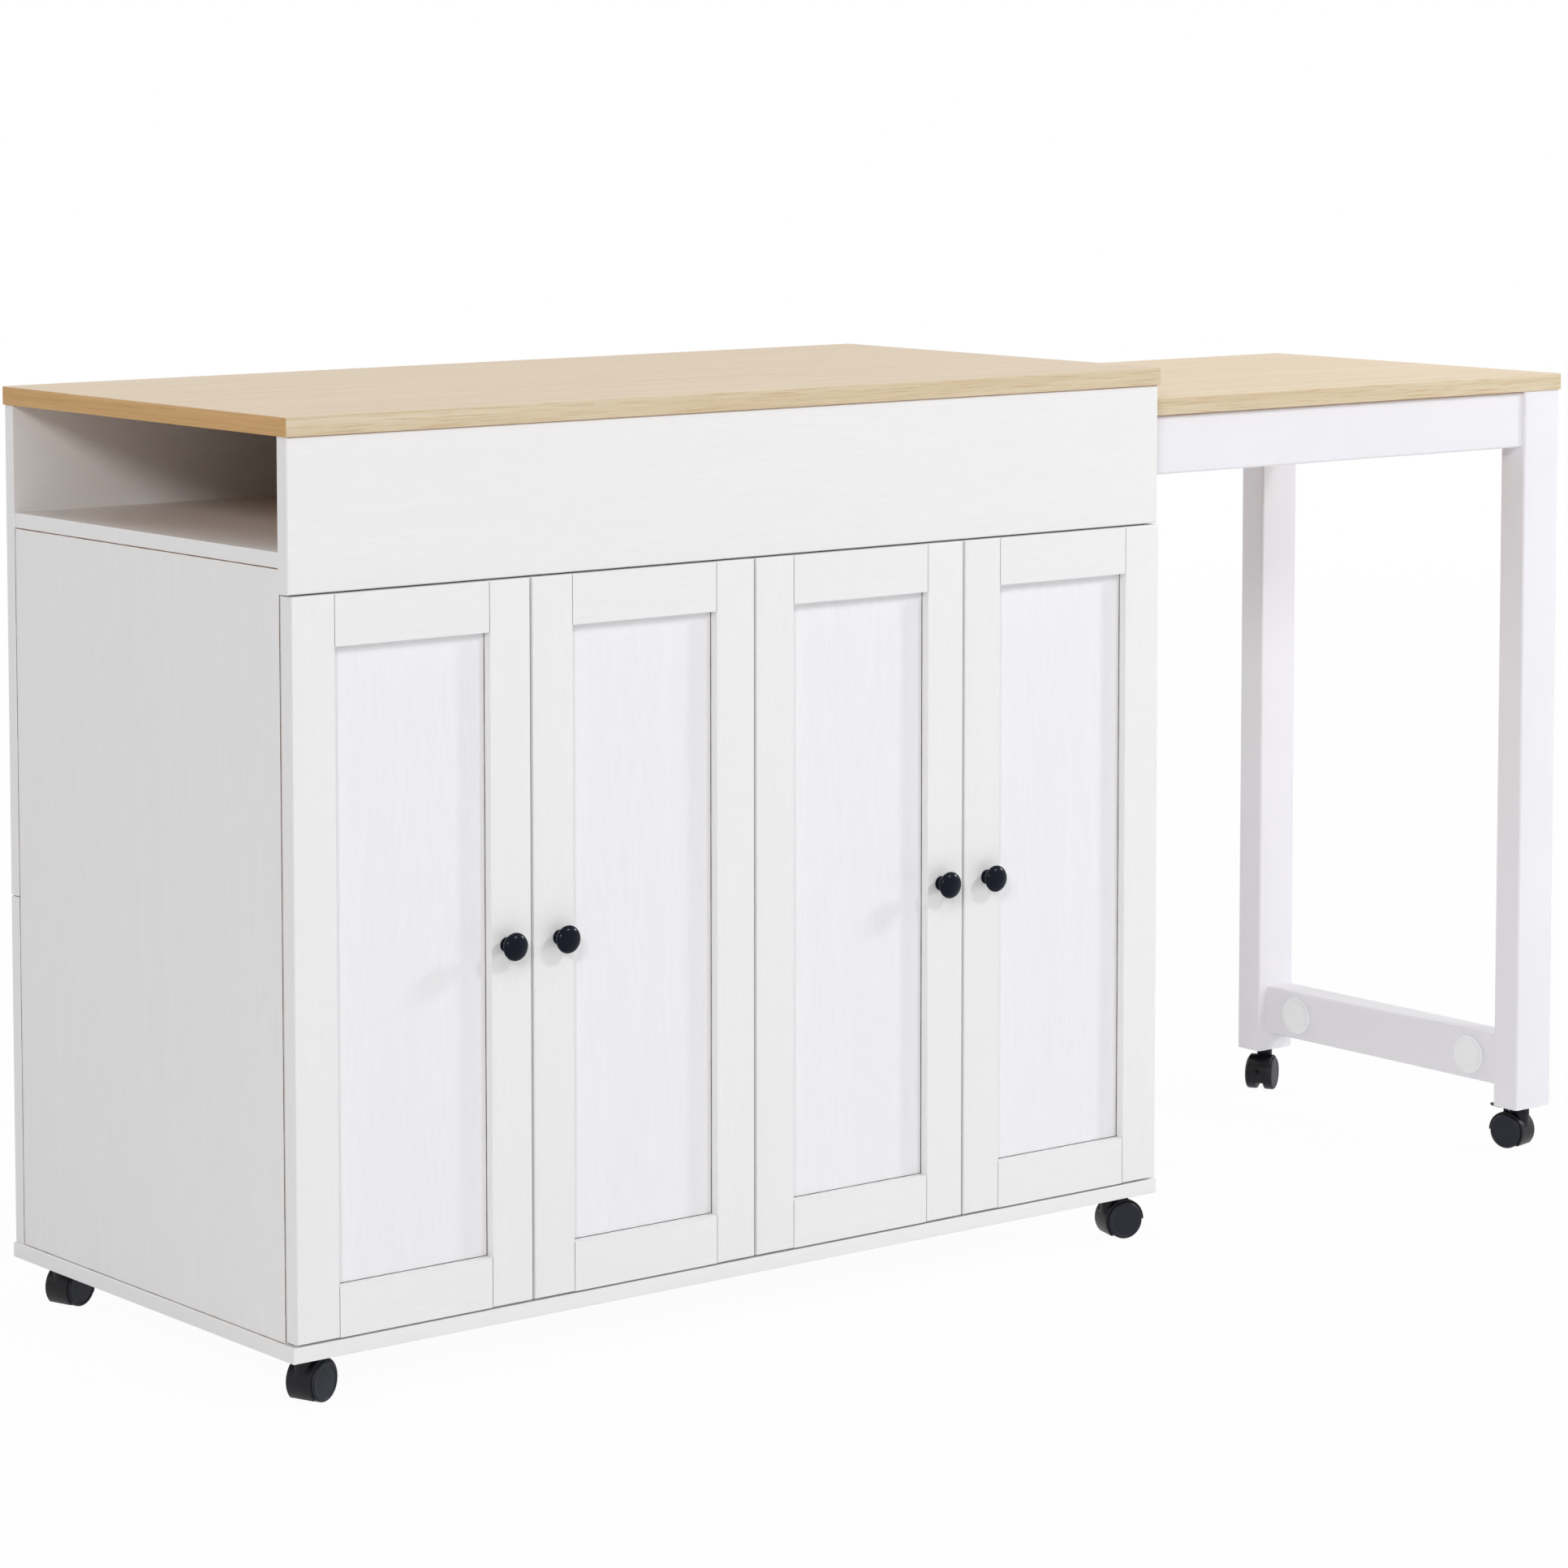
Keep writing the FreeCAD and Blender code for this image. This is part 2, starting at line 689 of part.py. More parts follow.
def make_sockets():
    """The plugs in the leg tubes, with the stems that their casters turn on."""
    pieces = []
    for side, y in (("front", front_leg_y), ("rear", rear_leg_y)):
        plug = new_body(f"table_{side}_plug")
        add_box(plug, "leg_width - 2 * tube_wall", "leg_depth - 2 * tube_wall", "leg_plug_height")
        drill(plug, "spigot_diameter", "spigot_length", "leg_width / 2 - tube_wall",
              "leg_depth / 2 - tube_wall", "0")
        place(plug, f"{leg_x} + tube_wall", f"{y} + tube_wall", "caster_height")
        pieces += [plug, make_stem(*leg_middle(side))]
    group("table_caster_sockets", pieces)


# Casters

def make_stem(x, y):
    body = new_body("caster_stem")
    flange = f"{boss_top} + swivel_gap"
    turned(body, ("0", stem_bottom), ("stem_diameter / 2", stem_bottom), ("stem_diameter / 2", flange),
           ("stem_flange_diameter / 2", flange), ("stem_flange_diameter / 2", "caster_height"),
           ("spigot_diameter / 2", "caster_height"), ("spigot_diameter / 2", "caster_height + spigot_length"),
           ("0", "caster_height + spigot_length"))
    place(body, x, y, "0")
    return body


def make_hood(name, x, y, turn, braked):
    """The moulded fender over both wheels: a drum hollowed from each side, with a boss for the stem.

    It reaches low on the leading side and clears the floor between the wheels. One with a brake is open
    behind the axle, and one without has an empty socket there.
    """
    body = new_body(f"caster_{name}_hood")
    half_width = f"{hood_width} / 2"
    add_cylinder(body, hood_radius, hood_width, "-caster_trail", half_width, axle_height, TO_FRONT)
    dress(body, "hood_round", lambda edge, box: near(edge.BoundBox.YLength, 0, box))
    add_cylinder(body, "boss_diameter / 2", f"{boss_top} - {axle_height}", z=axle_height)
    if braked:
        add_lugs(body)
    for side, sign in (("front", "-"), ("rear", "")):
        add_cylinder(body, cavity_radius, "wheel_gap + wheel_width + overrun", "-caster_trail",
                     f"{sign}hood_web / 2", axle_height, ON_SIDE[side], "Subtractive")
    reach = f"2 * ({hood_radius} + overrun)"
    openings = [(f"{reach} / 2", "hood_lip_gap"), ("hood_lip_start", "hood_web_gap")]
    if braked:
        openings.append(("-hood_tail_start", axle_height))
    else:
        add_box(body, "hood_socket_depth + overrun", "hood_socket_side", "hood_socket_side",
                f"-caster_trail - {hood_radius} - overrun", "-hood_socket_side / 2",
                f"{axle_height} + hood_socket_rise", "Subtractive")
    for end, rise in openings:
        add_box(body, reach, reach, f"{rise} + overrun", f"-caster_trail + {end} - {reach}",
                f"-{reach} / 2", "-overrun", "Subtractive")
    drill(body, "stem_diameter + 2 * running_clearance",
          f"{boss_top} - {stem_bottom} + stem_end_gap + overrun", "0", "0", f"{stem_bottom} - stem_end_gap")
    drill(body, "axle_diameter + 2 * running_clearance", "hood_web + 2 * overrun", "-caster_trail",
          "hood_web / 2 + overrun", axle_height, TO_FRONT)
    place(body, x, y, "0", turn)
    keep(body)


def add_lugs(body):
    """Two lugs on the fender that hold the brake lever's pin."""
    start_x = "-lever_pivot_setback - lever_lug_length / 2"
    rise = f"{lever_pivot_z} + lever_lug_length / 2 - {axle_height}"
    for y in (f"{lug_gap} / 2", f"-{lug_gap} / 2 - lever_lug_thickness"):
        add_box(body, "lever_lug_length", "lever_lug_thickness", rise, start_x, y, axle_height)
    drill(body, "lever_pin_diameter + 2 * running_clearance",
          f"{lug_gap} + 2 * lever_lug_thickness + 2 * overrun", "-lever_pivot_setback",
          f"{lug_gap} / 2 + lever_lug_thickness + overrun", lever_pivot_z, TO_FRONT)


def make_wheels(name, x, y, turn):
    pieces = []
    rim = "wheel_diameter / 2"
    dish = "wheel_dish_diameter / 2"
    bore = "axle_diameter / 2"
    hub_face = "wheel_width - wheel_dish_depth"
    for side in ("front", "rear"):
        wheel = new_body(f"caster_{name}_{side}_wheel")
        turned(wheel, (bore, "0"), (rim, "0"), (rim, "wheel_width"), (dish, "wheel_width"),
               ("hub_diameter / 2", hub_face), ("0", hub_face), ("0", "axle_engagement"),
               (bore, "axle_engagement"))
        dress(wheel, "wheel_round", on_tread_rim)
        pieces.append(seat_on_axle(wheel, x, y, turn, side, "(hood_web / 2 + wheel_gap)"))
    axle = new_body(f"caster_{name}_axle")
    add_cylinder(axle, bore, "hood_web + 2 * (wheel_gap + axle_engagement)")
    pieces.append(seat_on_axle(axle, x, y, turn, "rear", "-(hood_web / 2 + wheel_gap + axle_engagement)"))
    group(f"caster_{name}_wheels", pieces)


def on_tread_rim(edge, box):
    return near(edge.BoundBox.XLength, box.XLength, box)


def seat_on_axle(body, x, y, turn, side, offset):
    """Lays a turned piece on a caster's axle, its own zero end at the offset from the caster's middle."""
    behind = turn.multVec(-X_AXIS)
    outward = turn.multVec({"front": -Y_AXIS, "rear": Y_AXIS}[side])
    place(body,
          f"{x} + ({behind.x:.9f}) * caster_trail + ({outward.x:.9f}) * {offset}",
          f"{y} + ({behind.y:.9f}) * caster_trail + ({outward.y:.9f}) * {offset}",
          axle_height, turn.multiply(ON_SIDE[side]))
    return body


def make_lever(name, x, y, turn):
    """The tread lever, with its pin through the lugs."""
    body = new_body(f"caster_{name}_lever")
    add_cylinder(body, "lever_barrel_diameter / 2", "lever_width", "-lever_pivot_setback", "lever_width / 2",
                 lever_pivot_z, TO_FRONT)
    add_box(body, "lever_length", "lever_width", "lever_thickness", "-lever_pivot_setback - lever_length",
            "-lever_width / 2", f"{lever_pivot_z} + lever_barrel_diameter / 2 - lever_thickness")
    pin_length = f"({lug_gap} + 2 * lever_lug_thickness)"
    add_cylinder(body, "lever_pin_diameter / 2", pin_length, "-lever_pivot_setback", f"{pin_length} / 2",
                 lever_pivot_z, TO_FRONT)
    place(body, x, y, "0", turn)
    keep(body)


def make_casters():
    spots = {name: (caster_place(spot["end"], spot["side"]), spot) for name, spot in CABINET_CASTERS.items()}
    group("cabinet_caster_stems", [make_stem(*where) for where, spot in spots.values()])
    spots.update({name: (leg_middle(spot["side"]), spot) for name, spot in TABLE_CASTERS.items()})
    for name, (where, spot) in spots.items():
        turn = FreeCAD.Rotation(Z_AXIS, spot["heading"])
        make_hood(name, *where, turn, spot["braked"])
        make_wheels(name, *where, turn)
        if spot["braked"]:
            make_lever(name, *where, turn)


make_base_board()
make_upright("left_side_panel", "panel_inset", ("right",))
make_upright("centre_partition", partition_x, ("left", "right"))
make_upright("right_side_panel", right_panel_x, ("left",))
keep(board("slot_floor", "worktop_length - 2 * panel_inset", carcass_depth, "board_thickness",
           "panel_inset", carcass_front, slot_bottom, chosen=every_edge))
make_rear_boards()
keep(board("front_fascia", "worktop_length - 2 * fascia_end_inset", "fascia_thickness", "fascia_height",
           "fascia_end_inset", "fascia_setback", fascia_bottom, "fascia_round"))
keep(board("worktop", "worktop_length", "worktop_depth", "worktop_thickness", "0", "0", worktop_underside,
           "worktop_round", on_top_or_corner))
make_shelves()
make_doors()
keep(board("table_top", "table_length", table_depth, "table_thickness", table_start, table_front,
           table_underside, "worktop_round", on_top_or_corner))
make_table_frame()
make_caps()
make_glides()
make_sockets()
make_casters()

doc.recompute()
faults = [item.Label for item in doc.Objects if "Invalid" in item.State or "Error" in item.State]
faults += [node.Label for node in nodes if node.Shape.isNull() or not node.Shape.isValid()]
if faults:
    raise RuntimeError("these did not build: " + ", ".join(faults))

os.makedirs("parts", exist_ok=True)
for node in nodes:
    node.Shape.exportStep(f"parts/{node.Label}.step")
print(f"{len(nodes)} nodes, {sum(len(node.Shape.Solids) for node in nodes)} solids")
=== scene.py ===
import bpy
import json
import numpy as np
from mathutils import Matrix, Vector


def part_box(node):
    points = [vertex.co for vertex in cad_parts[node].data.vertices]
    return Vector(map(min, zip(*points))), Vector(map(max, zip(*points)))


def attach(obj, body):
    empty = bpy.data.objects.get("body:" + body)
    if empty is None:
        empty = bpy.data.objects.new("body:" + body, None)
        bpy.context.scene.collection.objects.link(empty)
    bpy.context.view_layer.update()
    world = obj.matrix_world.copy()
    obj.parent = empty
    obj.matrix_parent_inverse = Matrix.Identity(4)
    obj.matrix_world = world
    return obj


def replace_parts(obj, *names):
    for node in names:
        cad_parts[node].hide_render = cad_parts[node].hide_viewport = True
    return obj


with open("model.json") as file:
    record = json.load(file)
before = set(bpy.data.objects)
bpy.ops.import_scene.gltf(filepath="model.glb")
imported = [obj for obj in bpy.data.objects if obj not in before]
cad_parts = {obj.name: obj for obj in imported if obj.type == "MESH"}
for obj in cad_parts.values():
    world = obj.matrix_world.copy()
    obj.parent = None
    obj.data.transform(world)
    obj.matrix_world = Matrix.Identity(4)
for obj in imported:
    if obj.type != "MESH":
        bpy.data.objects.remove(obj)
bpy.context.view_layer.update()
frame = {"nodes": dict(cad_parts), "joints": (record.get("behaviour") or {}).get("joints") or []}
nodes = frame["nodes"]
joints = {joint["name"]: joint for joint in frame["joints"]}
mm = 0.001
doorNumbers = (1, 2, 3, 4)
casterNames = ("front_left", "front_right", "rear_left", "rear_right", "table_front", "table_rear")


# Colour and node helpers

def linear(hexText):
    srgb = np.array([int(hexText[i:i + 2], 16) for i in (1, 3, 5)]) / 255
    bent = np.where(srgb <= 0.04045, srgb / 12.92, ((srgb + 0.055) / 1.055) ** 2.4)   # the sRGB curve
    return (*bent.tolist(), 1.0)


def addNode(tree, kind, inputs=None, **settings):
    node = tree.nodes.new(kind)
    for name, value in settings.items():
        setattr(node, name, value)
    for name, value in (inputs or {}).items():
        if isinstance(value, bpy.types.NodeSocket):
            tree.links.new(value, node.inputs[name])
        else:
            node.inputs[name].default_value = value
    return node


# A new finish with its fixed values on the shader's own sockets, and the place that its patterns read
def newFinish(name, fixed):
    material = bpy.data.materials.new(name)
    material.use_nodes = True
    tree = material.node_tree
    shader = tree.nodes["Principled BSDF"]
    for key, value in fixed.items():
        shader.inputs[key].default_value = value
    place = addNode(tree, "ShaderNodeTexCoord").outputs["Object"]
    return material, tree, shader, place


# Pattern sizes in mm, as noise cells for each metre
def cellsPerMetre(x, y, z):
    return (1 / (x * mm), 1 / (y * mm), 1 / (z * mm))


# Limits that a value is taken from and brought to
def spans(start, end):
    return {"From Min": start[0], "From Max": start[1], "To Min": end[0], "To Max": end[1]}


# Finishes

whole = (0.0, 1.0)
boardLook = {
    "foil": ("#f1f1f3", "#edeeef"),             # face and pore
    "panelFoil": ("#f2f2f5", "#eeeef2"),        # a cooler foil on the door panels
    "streakLength": 26, "streakWidth": 1.5,     # mm; real pores are finer, drawn this wide so that they show
    "figureLength": 420, "figureWidth": 22,     # mm, slow change from busy to quiet grain
    "streakNoise": (3.0, 0.55),                 # detail and roughness of the noise
    "figureNoise": (2.0, 0.5),
    "poreRange": (0.36, 0.6),                   # from pore to face
    "figureRange": (0.3, 0.7),
    "figureShare": (0.35, 1.0),                 # share of the face tone in busy and in quiet grain
    "sheen": (0.52, 0.4),                       # roughness in the pores and on the face
    "pressDepth": 0.1, "pressStrength": 0.22,   # mm
    "ior": 1.5,
}


# White melamine foil pressed with an oak pore: near white, faint short strokes, a low satin sheen
def pressedMelamine(name, grain, foil):
    look = boardLook
    face, pore = look[foil]
    material, tree, shader, place = newFinish(name, {"IOR": look["ior"]})
    noises = {}
    for key in ("streak", "figure"):
        size = [look[key + "Width"]] * 3
        size["XYZ".index(grain)] = look[key + "Length"]
        detail, roughness = look[key + "Noise"]
        laid = addNode(tree, "ShaderNodeMapping", {"Vector": place, "Scale": cellsPerMetre(*size)})
        noises[key] = addNode(tree, "ShaderNodeTexNoise", {"Vector": laid.outputs[0], "Scale": 1.0,
                                                           "Detail": detail, "Roughness": roughness})
    pores = addNode(tree, "ShaderNodeMapRange", {"Value": noises["streak"].outputs["Fac"],
                                                 **spans(look["poreRange"], whole)})
    bands = addNode(tree, "ShaderNodeMapRange", {"Value": noises["figure"].outputs["Fac"],
                                                 **spans(look["figureRange"], look["figureShare"])})
    share = addNode(tree, "ShaderNodeMath", {0: pores.outputs[0], 1: bands.outputs[0]}, operation="MULTIPLY")
    colour = addNode(tree, "ShaderNodeMix", {"Factor": share.outputs[0], "A": linear(pore),
                                             "B": linear(face)}, data_type="RGBA")
    sheen = addNode(tree, "ShaderNodeMapRange", {"Value": pores.outputs[0], **spans(whole, look["sheen"])})
    press = addNode(tree, "ShaderNodeBump", {"Height": pores.outputs[0], "Strength": look["pressStrength"],
                                             "Distance": look["pressDepth"] * mm})
    tree.links.new(colour.outputs["Result"], shader.inputs["Base Color"])
    tree.links.new(sheen.outputs[0], shader.inputs["Roughness"])
    tree.links.new(press.outputs[0], shader.inputs["Normal"])
    return material


oakLook = {
    "top": ("#eedfc8", "#e4d1b8"),              # light and dark bands of the print
    "paintedLightTableTop": ("#f6e6cc", "#ecd8bc"),         # the worktop's print, painted lighter: painted light for the stronger light on the table
    "under": ("#c28c44", "#b07c38"),            # backing sheet below
    "edge": ("#ddd0b6", "#cfbb98"),             # edge band along the front and back
    "end": ("#d6ae7a", "#c5985f"),              # edge band across the ends
    "pore": "#b48f5c",
    "poreLength": 55, "poreWidth": 1.5,         # mm; wider than real pores, so that they show
    "bandLength": 480, "bandWidth": 8,          # mm
    "detail": 3.0, "roughness": 0.6, "distortion": 0.4,   # of both noises
    "poreRange": (0.5, 0.74),                   # from ground to pore
    "bandRange": (0.3, 0.7),                    # from light to dark
    "poreShare": (0.16, 0.6),                   # strength of the pores on the sheet and on the edges
    "facing": 0.7,                              # a face turned this much one way takes that way's sheet
    "sheen": (0.66, 0.76),                      # roughness on the face and in the pores
    "grainDepth": 0.1, "grainStrength": 0.12,   # mm
    "gloss": 0.36, "ior": 1.5,
}


# Oak-print laminate: pale straw, fine pores along the board, a stronger print on its edge band, matt lacquer
def oakLaminate(name, sheet):
    look = oakLook
    material, tree, shader, place = newFinish(name, {"IOR": look["ior"], "Specular IOR Level": look["gloss"]})
    normal = addNode(tree, "ShaderNodeNewGeometry").outputs["Normal"]
    ways = addNode(tree, "ShaderNodeSeparateXYZ", {"Vector": normal})
    endward = addNode(tree, "ShaderNodeMath", {0: ways.outputs["X"]}, operation="ABSOLUTE")
    onEnd = addNode(tree, "ShaderNodeMath", {0: endward.outputs[0], 1: look["facing"]},
                    operation="GREATER_THAN")
    upward = addNode(tree, "ShaderNodeMath", {0: ways.outputs["Z"]}, operation="ABSOLUTE")
    onEdge = addNode(tree, "ShaderNodeMath", {0: upward.outputs[0], 1: look["facing"]},
                     operation="LESS_THAN")
    below = addNode(tree, "ShaderNodeMath", {0: ways.outputs["Z"], 1: -look["facing"]},
                    operation="LESS_THAN")
    noises = {}
    for key in ("pore", "band"):
        long, wide = look[key + "Length"], look[key + "Width"]
        alongX = addNode(tree, "ShaderNodeMapping", {"Vector": place,
                                                     "Scale": cellsPerMetre(long, wide, wide)})
        alongY = addNode(tree, "ShaderNodeMapping", {"Vector": place,
                                                     "Scale": cellsPerMetre(wide, long, wide)})
        chosen = addNode(tree, "ShaderNodeMix", {"Factor": onEnd.outputs[0], "A": alongX.outputs[0],
                                                 "B": alongY.outputs[0]}, data_type="VECTOR")
        noises[key] = addNode(tree, "ShaderNodeTexNoise", {
            "Vector": chosen.outputs["Result"], "Scale": 1.0, "Detail": look["detail"],
            "Roughness": look["roughness"], "Distortion": look["distortion"]})
    bands = addNode(tree, "ShaderNodeMapRange", {"Value": noises["band"].outputs["Fac"],
                                                 **spans(look["bandRange"], whole)})
    grounds = {}
    for key in (sheet, "under", "edge", "end"):
        light, dark = look[key]
        grounds[key] = addNode(tree, "ShaderNodeMix", {"Factor": bands.outputs[0], "A": linear(light),
                                                       "B": linear(dark)}, data_type="RGBA").outputs["Result"]
    banding = addNode(tree, "ShaderNodeMix", {"Factor": onEnd.outputs[0], "A": grounds["edge"],
                                              "B": grounds["end"]}, data_type="RGBA")
    flat = addNode(tree, "ShaderNodeMix", {"Factor": below.outputs[0], "A": grounds[sheet],
                                           "B": grounds["under"]}, data_type="RGBA")
    ground = addNode(tree, "ShaderNodeMix", {"Factor": onEdge.outputs[0], "A": flat.outputs["Result"],
                                             "B": banding.outputs["Result"]}, data_type="RGBA")
    pores = addNode(tree, "ShaderNodeMapRange", {"Value": noises["pore"].outputs["Fac"],
                                                 **spans(look["poreRange"], whole)})
    weight = addNode(tree, "ShaderNodeMapRange", {"Value": onEdge.outputs[0],
                                                  **spans(whole, look["poreShare"])})
    share = addNode(tree, "ShaderNodeMath", {0: pores.outputs[0], 1: weight.outputs[0]}, operation="MULTIPLY")
    colour = addNode(tree, "ShaderNodeMix", {"Factor": share.outputs[0], "A": ground.outputs["Result"],
                                             "B": linear(look["pore"])}, data_type="RGBA")
    sheen = addNode(tree, "ShaderNodeMapRange", {"Value": pores.outputs[0], **spans(whole, look["sheen"])})
    grain = addNode(tree, "ShaderNodeBump", {"Height": noises["pore"].outputs["Fac"],
                                             "Strength": look["grainStrength"],
                                             "Distance": look["grainDepth"] * mm})
    tree.links.new(colour.outputs["Result"], shader.inputs["Base Color"])
    tree.links.new(sheen.outputs[0], shader.inputs["Roughness"])
    tree.links.new(grain.outputs[0], shader.inputs["Normal"])
    return material


coatLook = {
    "tone": "#f0f0f5", "cloud": "#eaeaf0",
    "peel": 2.2, "cloudSize": 120,              # mm
    "peelDepth": 0.2, "peelStrength": 0.08,     # mm
    "peelDetail": 2.0,
    "sheen": 0.36, "ior": 1.5,
}


# White powder coat on steel tube: cool white, a fine orange peel, soft gloss
def powderCoat(name):
    look = coatLook
    material, tree, shader, place = newFinish(name, {"Roughness": look["sheen"], "IOR": look["ior"]})
    peel = addNode(tree, "ShaderNodeTexNoise", {"Vector": place, "Scale": 1 / (look["peel"] * mm),
                                                "Detail": look["peelDetail"]})
    cloud = addNode(tree, "ShaderNodeTexNoise", {"Vector": place, "Scale": 1 / (look["cloudSize"] * mm)})
    colour = addNode(tree, "ShaderNodeMix", {"Factor": cloud.outputs["Fac"], "A": linear(look["tone"]),
                                             "B": linear(look["cloud"])}, data_type="RGBA")
    skin = addNode(tree, "ShaderNodeBump", {"Height": peel.outputs["Fac"], "Strength": look["peelStrength"],
                                            "Distance": look["peelDepth"] * mm})
    tree.links.new(colour.outputs["Result"], shader.inputs["Base Color"])
    tree.links.new(skin.outputs[0], shader.inputs["Normal"])
    return material


blackLook = {
    "satin black enamel": {"tones": ("#060a18", "#0a1022"), "sheen": 0.17, "speckle": 3.0, "gloss": 0.13},
    "black nylon moulding": {"tones": ("#0f1014", "#17181d"), "sheen": 0.36, "speckle": 1.2, "gloss": 0.22},
    "black nylon wheel": {"tones": ("#171922", "#20232e"), "sheen": 0.45, "speckle": 1.6, "gloss": 0.25},
}
blackSkin = {"sheenSpread": 0.06, "detail": 3.0, "depth": 0.1, "strength": 0.06, "ior": 1.5}   # depth in mm


# Stoved enamel is smooth and bluish with small highlights; moulded nylon is duller, greyer and finely mottled
def blackFinish(name):
    look = {**blackSkin, **blackLook[name]}
    dark, light = look["tones"]
    sheenLimits = (look["sheen"] - look["sheenSpread"], look["sheen"] + look["sheenSpread"])
    material, tree, shader, place = newFinish(name, {"IOR": look["ior"], "Specular IOR Level": look["gloss"]})
    fine = addNode(tree, "ShaderNodeTexNoise", {"Vector": place, "Scale": 1 / (look["speckle"] * mm),
                                                "Detail": look["detail"]})
    colour = addNode(tree, "ShaderNodeMix", {"Factor": fine.outputs["Fac"], "A": linear(dark),
                                             "B": linear(light)}, data_type="RGBA")
    sheen = addNode(tree, "ShaderNodeMapRange", {"Value": fine.outputs["Fac"], **spans(whole, sheenLimits)})
    skin = addNode(tree, "ShaderNodeBump", {"Height": fine.outputs["Fac"], "Strength": look["strength"],
                                            "Distance": look["depth"] * mm})
    tree.links.new(colour.outputs["Result"], shader.inputs["Base Color"])
    tree.links.new(sheen.outputs[0], shader.inputs["Roughness"])
    tree.links.new(skin.outputs[0], shader.inputs["Normal"])
    return material


nickelLook = {"tones": ("#b9b9ba", "#d2d2d1"), "lineWidth": 0.8, "lineLength": 12, "detail": 2.0,
              "sheen": (0.24, 0.4)}             # lines in mm


# Nickel-plated pressed steel: mid grey metal, fine drawing lines along the strip
def nickelSteel(name):
    look = nickelLook
    dark, light = look["tones"]
    wide, long = look["lineWidth"], look["lineLength"]
    material, tree, shader, place = newFinish(name, {"Metallic": 1.0})
    lines = addNode(tree, "ShaderNodeMapping", {"Vector": place, "Scale": cellsPerMetre(wide, long, wide)})
    drawn = addNode(tree, "ShaderNodeTexNoise", {"Vector": lines.outputs[0], "Scale": 1.0,
                                                 "Detail": look["detail"]})
    colour = addNode(tree, "ShaderNodeMix", {"Factor": drawn.outputs["Fac"], "A": linear(dark),
                                             "B": linear(light)}, data_type="RGBA")
    sheen = addNode(tree, "ShaderNodeMapRange", {"Value": drawn.outputs["Fac"],
                                                 **spans(whole, look["sheen"])})
    tree.links.new(colour.outputs["Result"], shader.inputs["Base Color"])
    tree.links.new(sheen.outputs[0], shader.inputs["Roughness"])
    return material


plasticLook = {
    "milky polyethylene": ("#f8fafd", "#f3f5f9"),
    "natural nylon": ("#dcdad2", "#cfccc3"),
    "cloudSize": 14, "detail": 2.0,             # mm
    "sheen": 0.38, "ior": 1.51,
}


# Unpainted moulded plastic: white or bone, slightly cloudy, waxy gloss
def milkyPlastic(name):
    look = plasticLook
    tone, cloudTone = look[name]
    material, tree, shader, place = newFinish(name, {"Roughness": look["sheen"], "IOR": look["ior"]})
    cloud = addNode(tree, "ShaderNodeTexNoise", {"Vector": place, "Scale": 1 / (look["cloudSize"] * mm),
                                                 "Detail": look["detail"]})
    colour = addNode(tree, "ShaderNodeMix", {"Factor": cloud.outputs["Fac"], "A": linear(tone),
                                             "B": linear(cloudTone)}, data_type="RGBA")
    tree.links.new(colour.outputs["Result"], shader.inputs["Base Color"])
    return material


fibreLook = {
    "brown fibre filler with painted gap shade": ("#8d7868", "#6f5c4e"),
    "dark joint filler with painted corner shade": ("#6a605a", "#524a45"),
    "fibre": 1.8, "detail": 3.0,                # mm
    "napDepth": 0.1, "napStrength": 0.3,        # mm
    "sheen": 0.85, "ior": 1.45,
}


# Raw board fibre in a joint: dull brown, grainy, no sheen; its beads also stand for the shade in gaps and
# corners (painted shade)
def rawFibre(name):
    look = fibreLook
    tone, dark = look[name]
    material, tree, shader, place = newFinish(name, {"Roughness": look["sheen"], "IOR": look["ior"]})
    fibre = addNode(tree, "ShaderNodeTexNoise", {"Vector": place, "Scale": 1 / (look["fibre"] * mm),
                                                 "Detail": look["detail"]})
    colour = addNode(tree, "ShaderNodeMix", {"Factor": fibre.outputs["Fac"], "A": linear(tone),
                                             "B": linear(dark)}, data_type="RGBA")
    nap = addNode(tree, "ShaderNodeBump", {"Height": fibre.outputs["Fac"], "Strength": look["napStrength"],
                                           "Distance": look["napDepth"] * mm})
    tree.links.new(colour.outputs["Result"], shader.inputs["Base Color"])
    tree.links.new(nap.outputs[0], shader.inputs["Normal"])
    return material


uprightBoard = pressedMelamine("white melamine, grain upright", "Z", "foil")
levelBoard = pressedMelamine("white melamine, grain level", "X", "foil")
panelBoard = pressedMelamine("white melamine, cool panel foil", "Z", "panelFoil")
oak = oakLaminate("oak print laminate", "top")
# The table's oak is the worktop's print with painted light: a lighter copy for the light that falls more on
# the table
paintedLightTableOak = oakLaminate("oak print laminate, painted lighter for the table", "paintedLightTableTop")
whiteCoat = powderCoat("white powder coat")
knobPaint = blackFinish("satin black enamel")
hoodNylon = blackFinish("black nylon moulding")
wheelNylon = blackFinish("black nylon wheel")
nickel = nickelSteel("nickel-plated steel")
capPlastic = milkyPlastic("milky polyethylene")
glidePlastic = milkyPlastic("natural nylon")
seamFibreAndShade = rawFibre("brown fibre filler with painted gap shade")
jointAndShadeFiller = rawFibre("dark joint filler with painted corner shade")
print("finishes ready:", len(bpy.data.materials))


# CAD nodes: one finish each, and shading that is smooth over rounds and sharp at corners

shading = {"mergeWithin": 0.005, "sharpAngle": 0.56}   # mm, radians


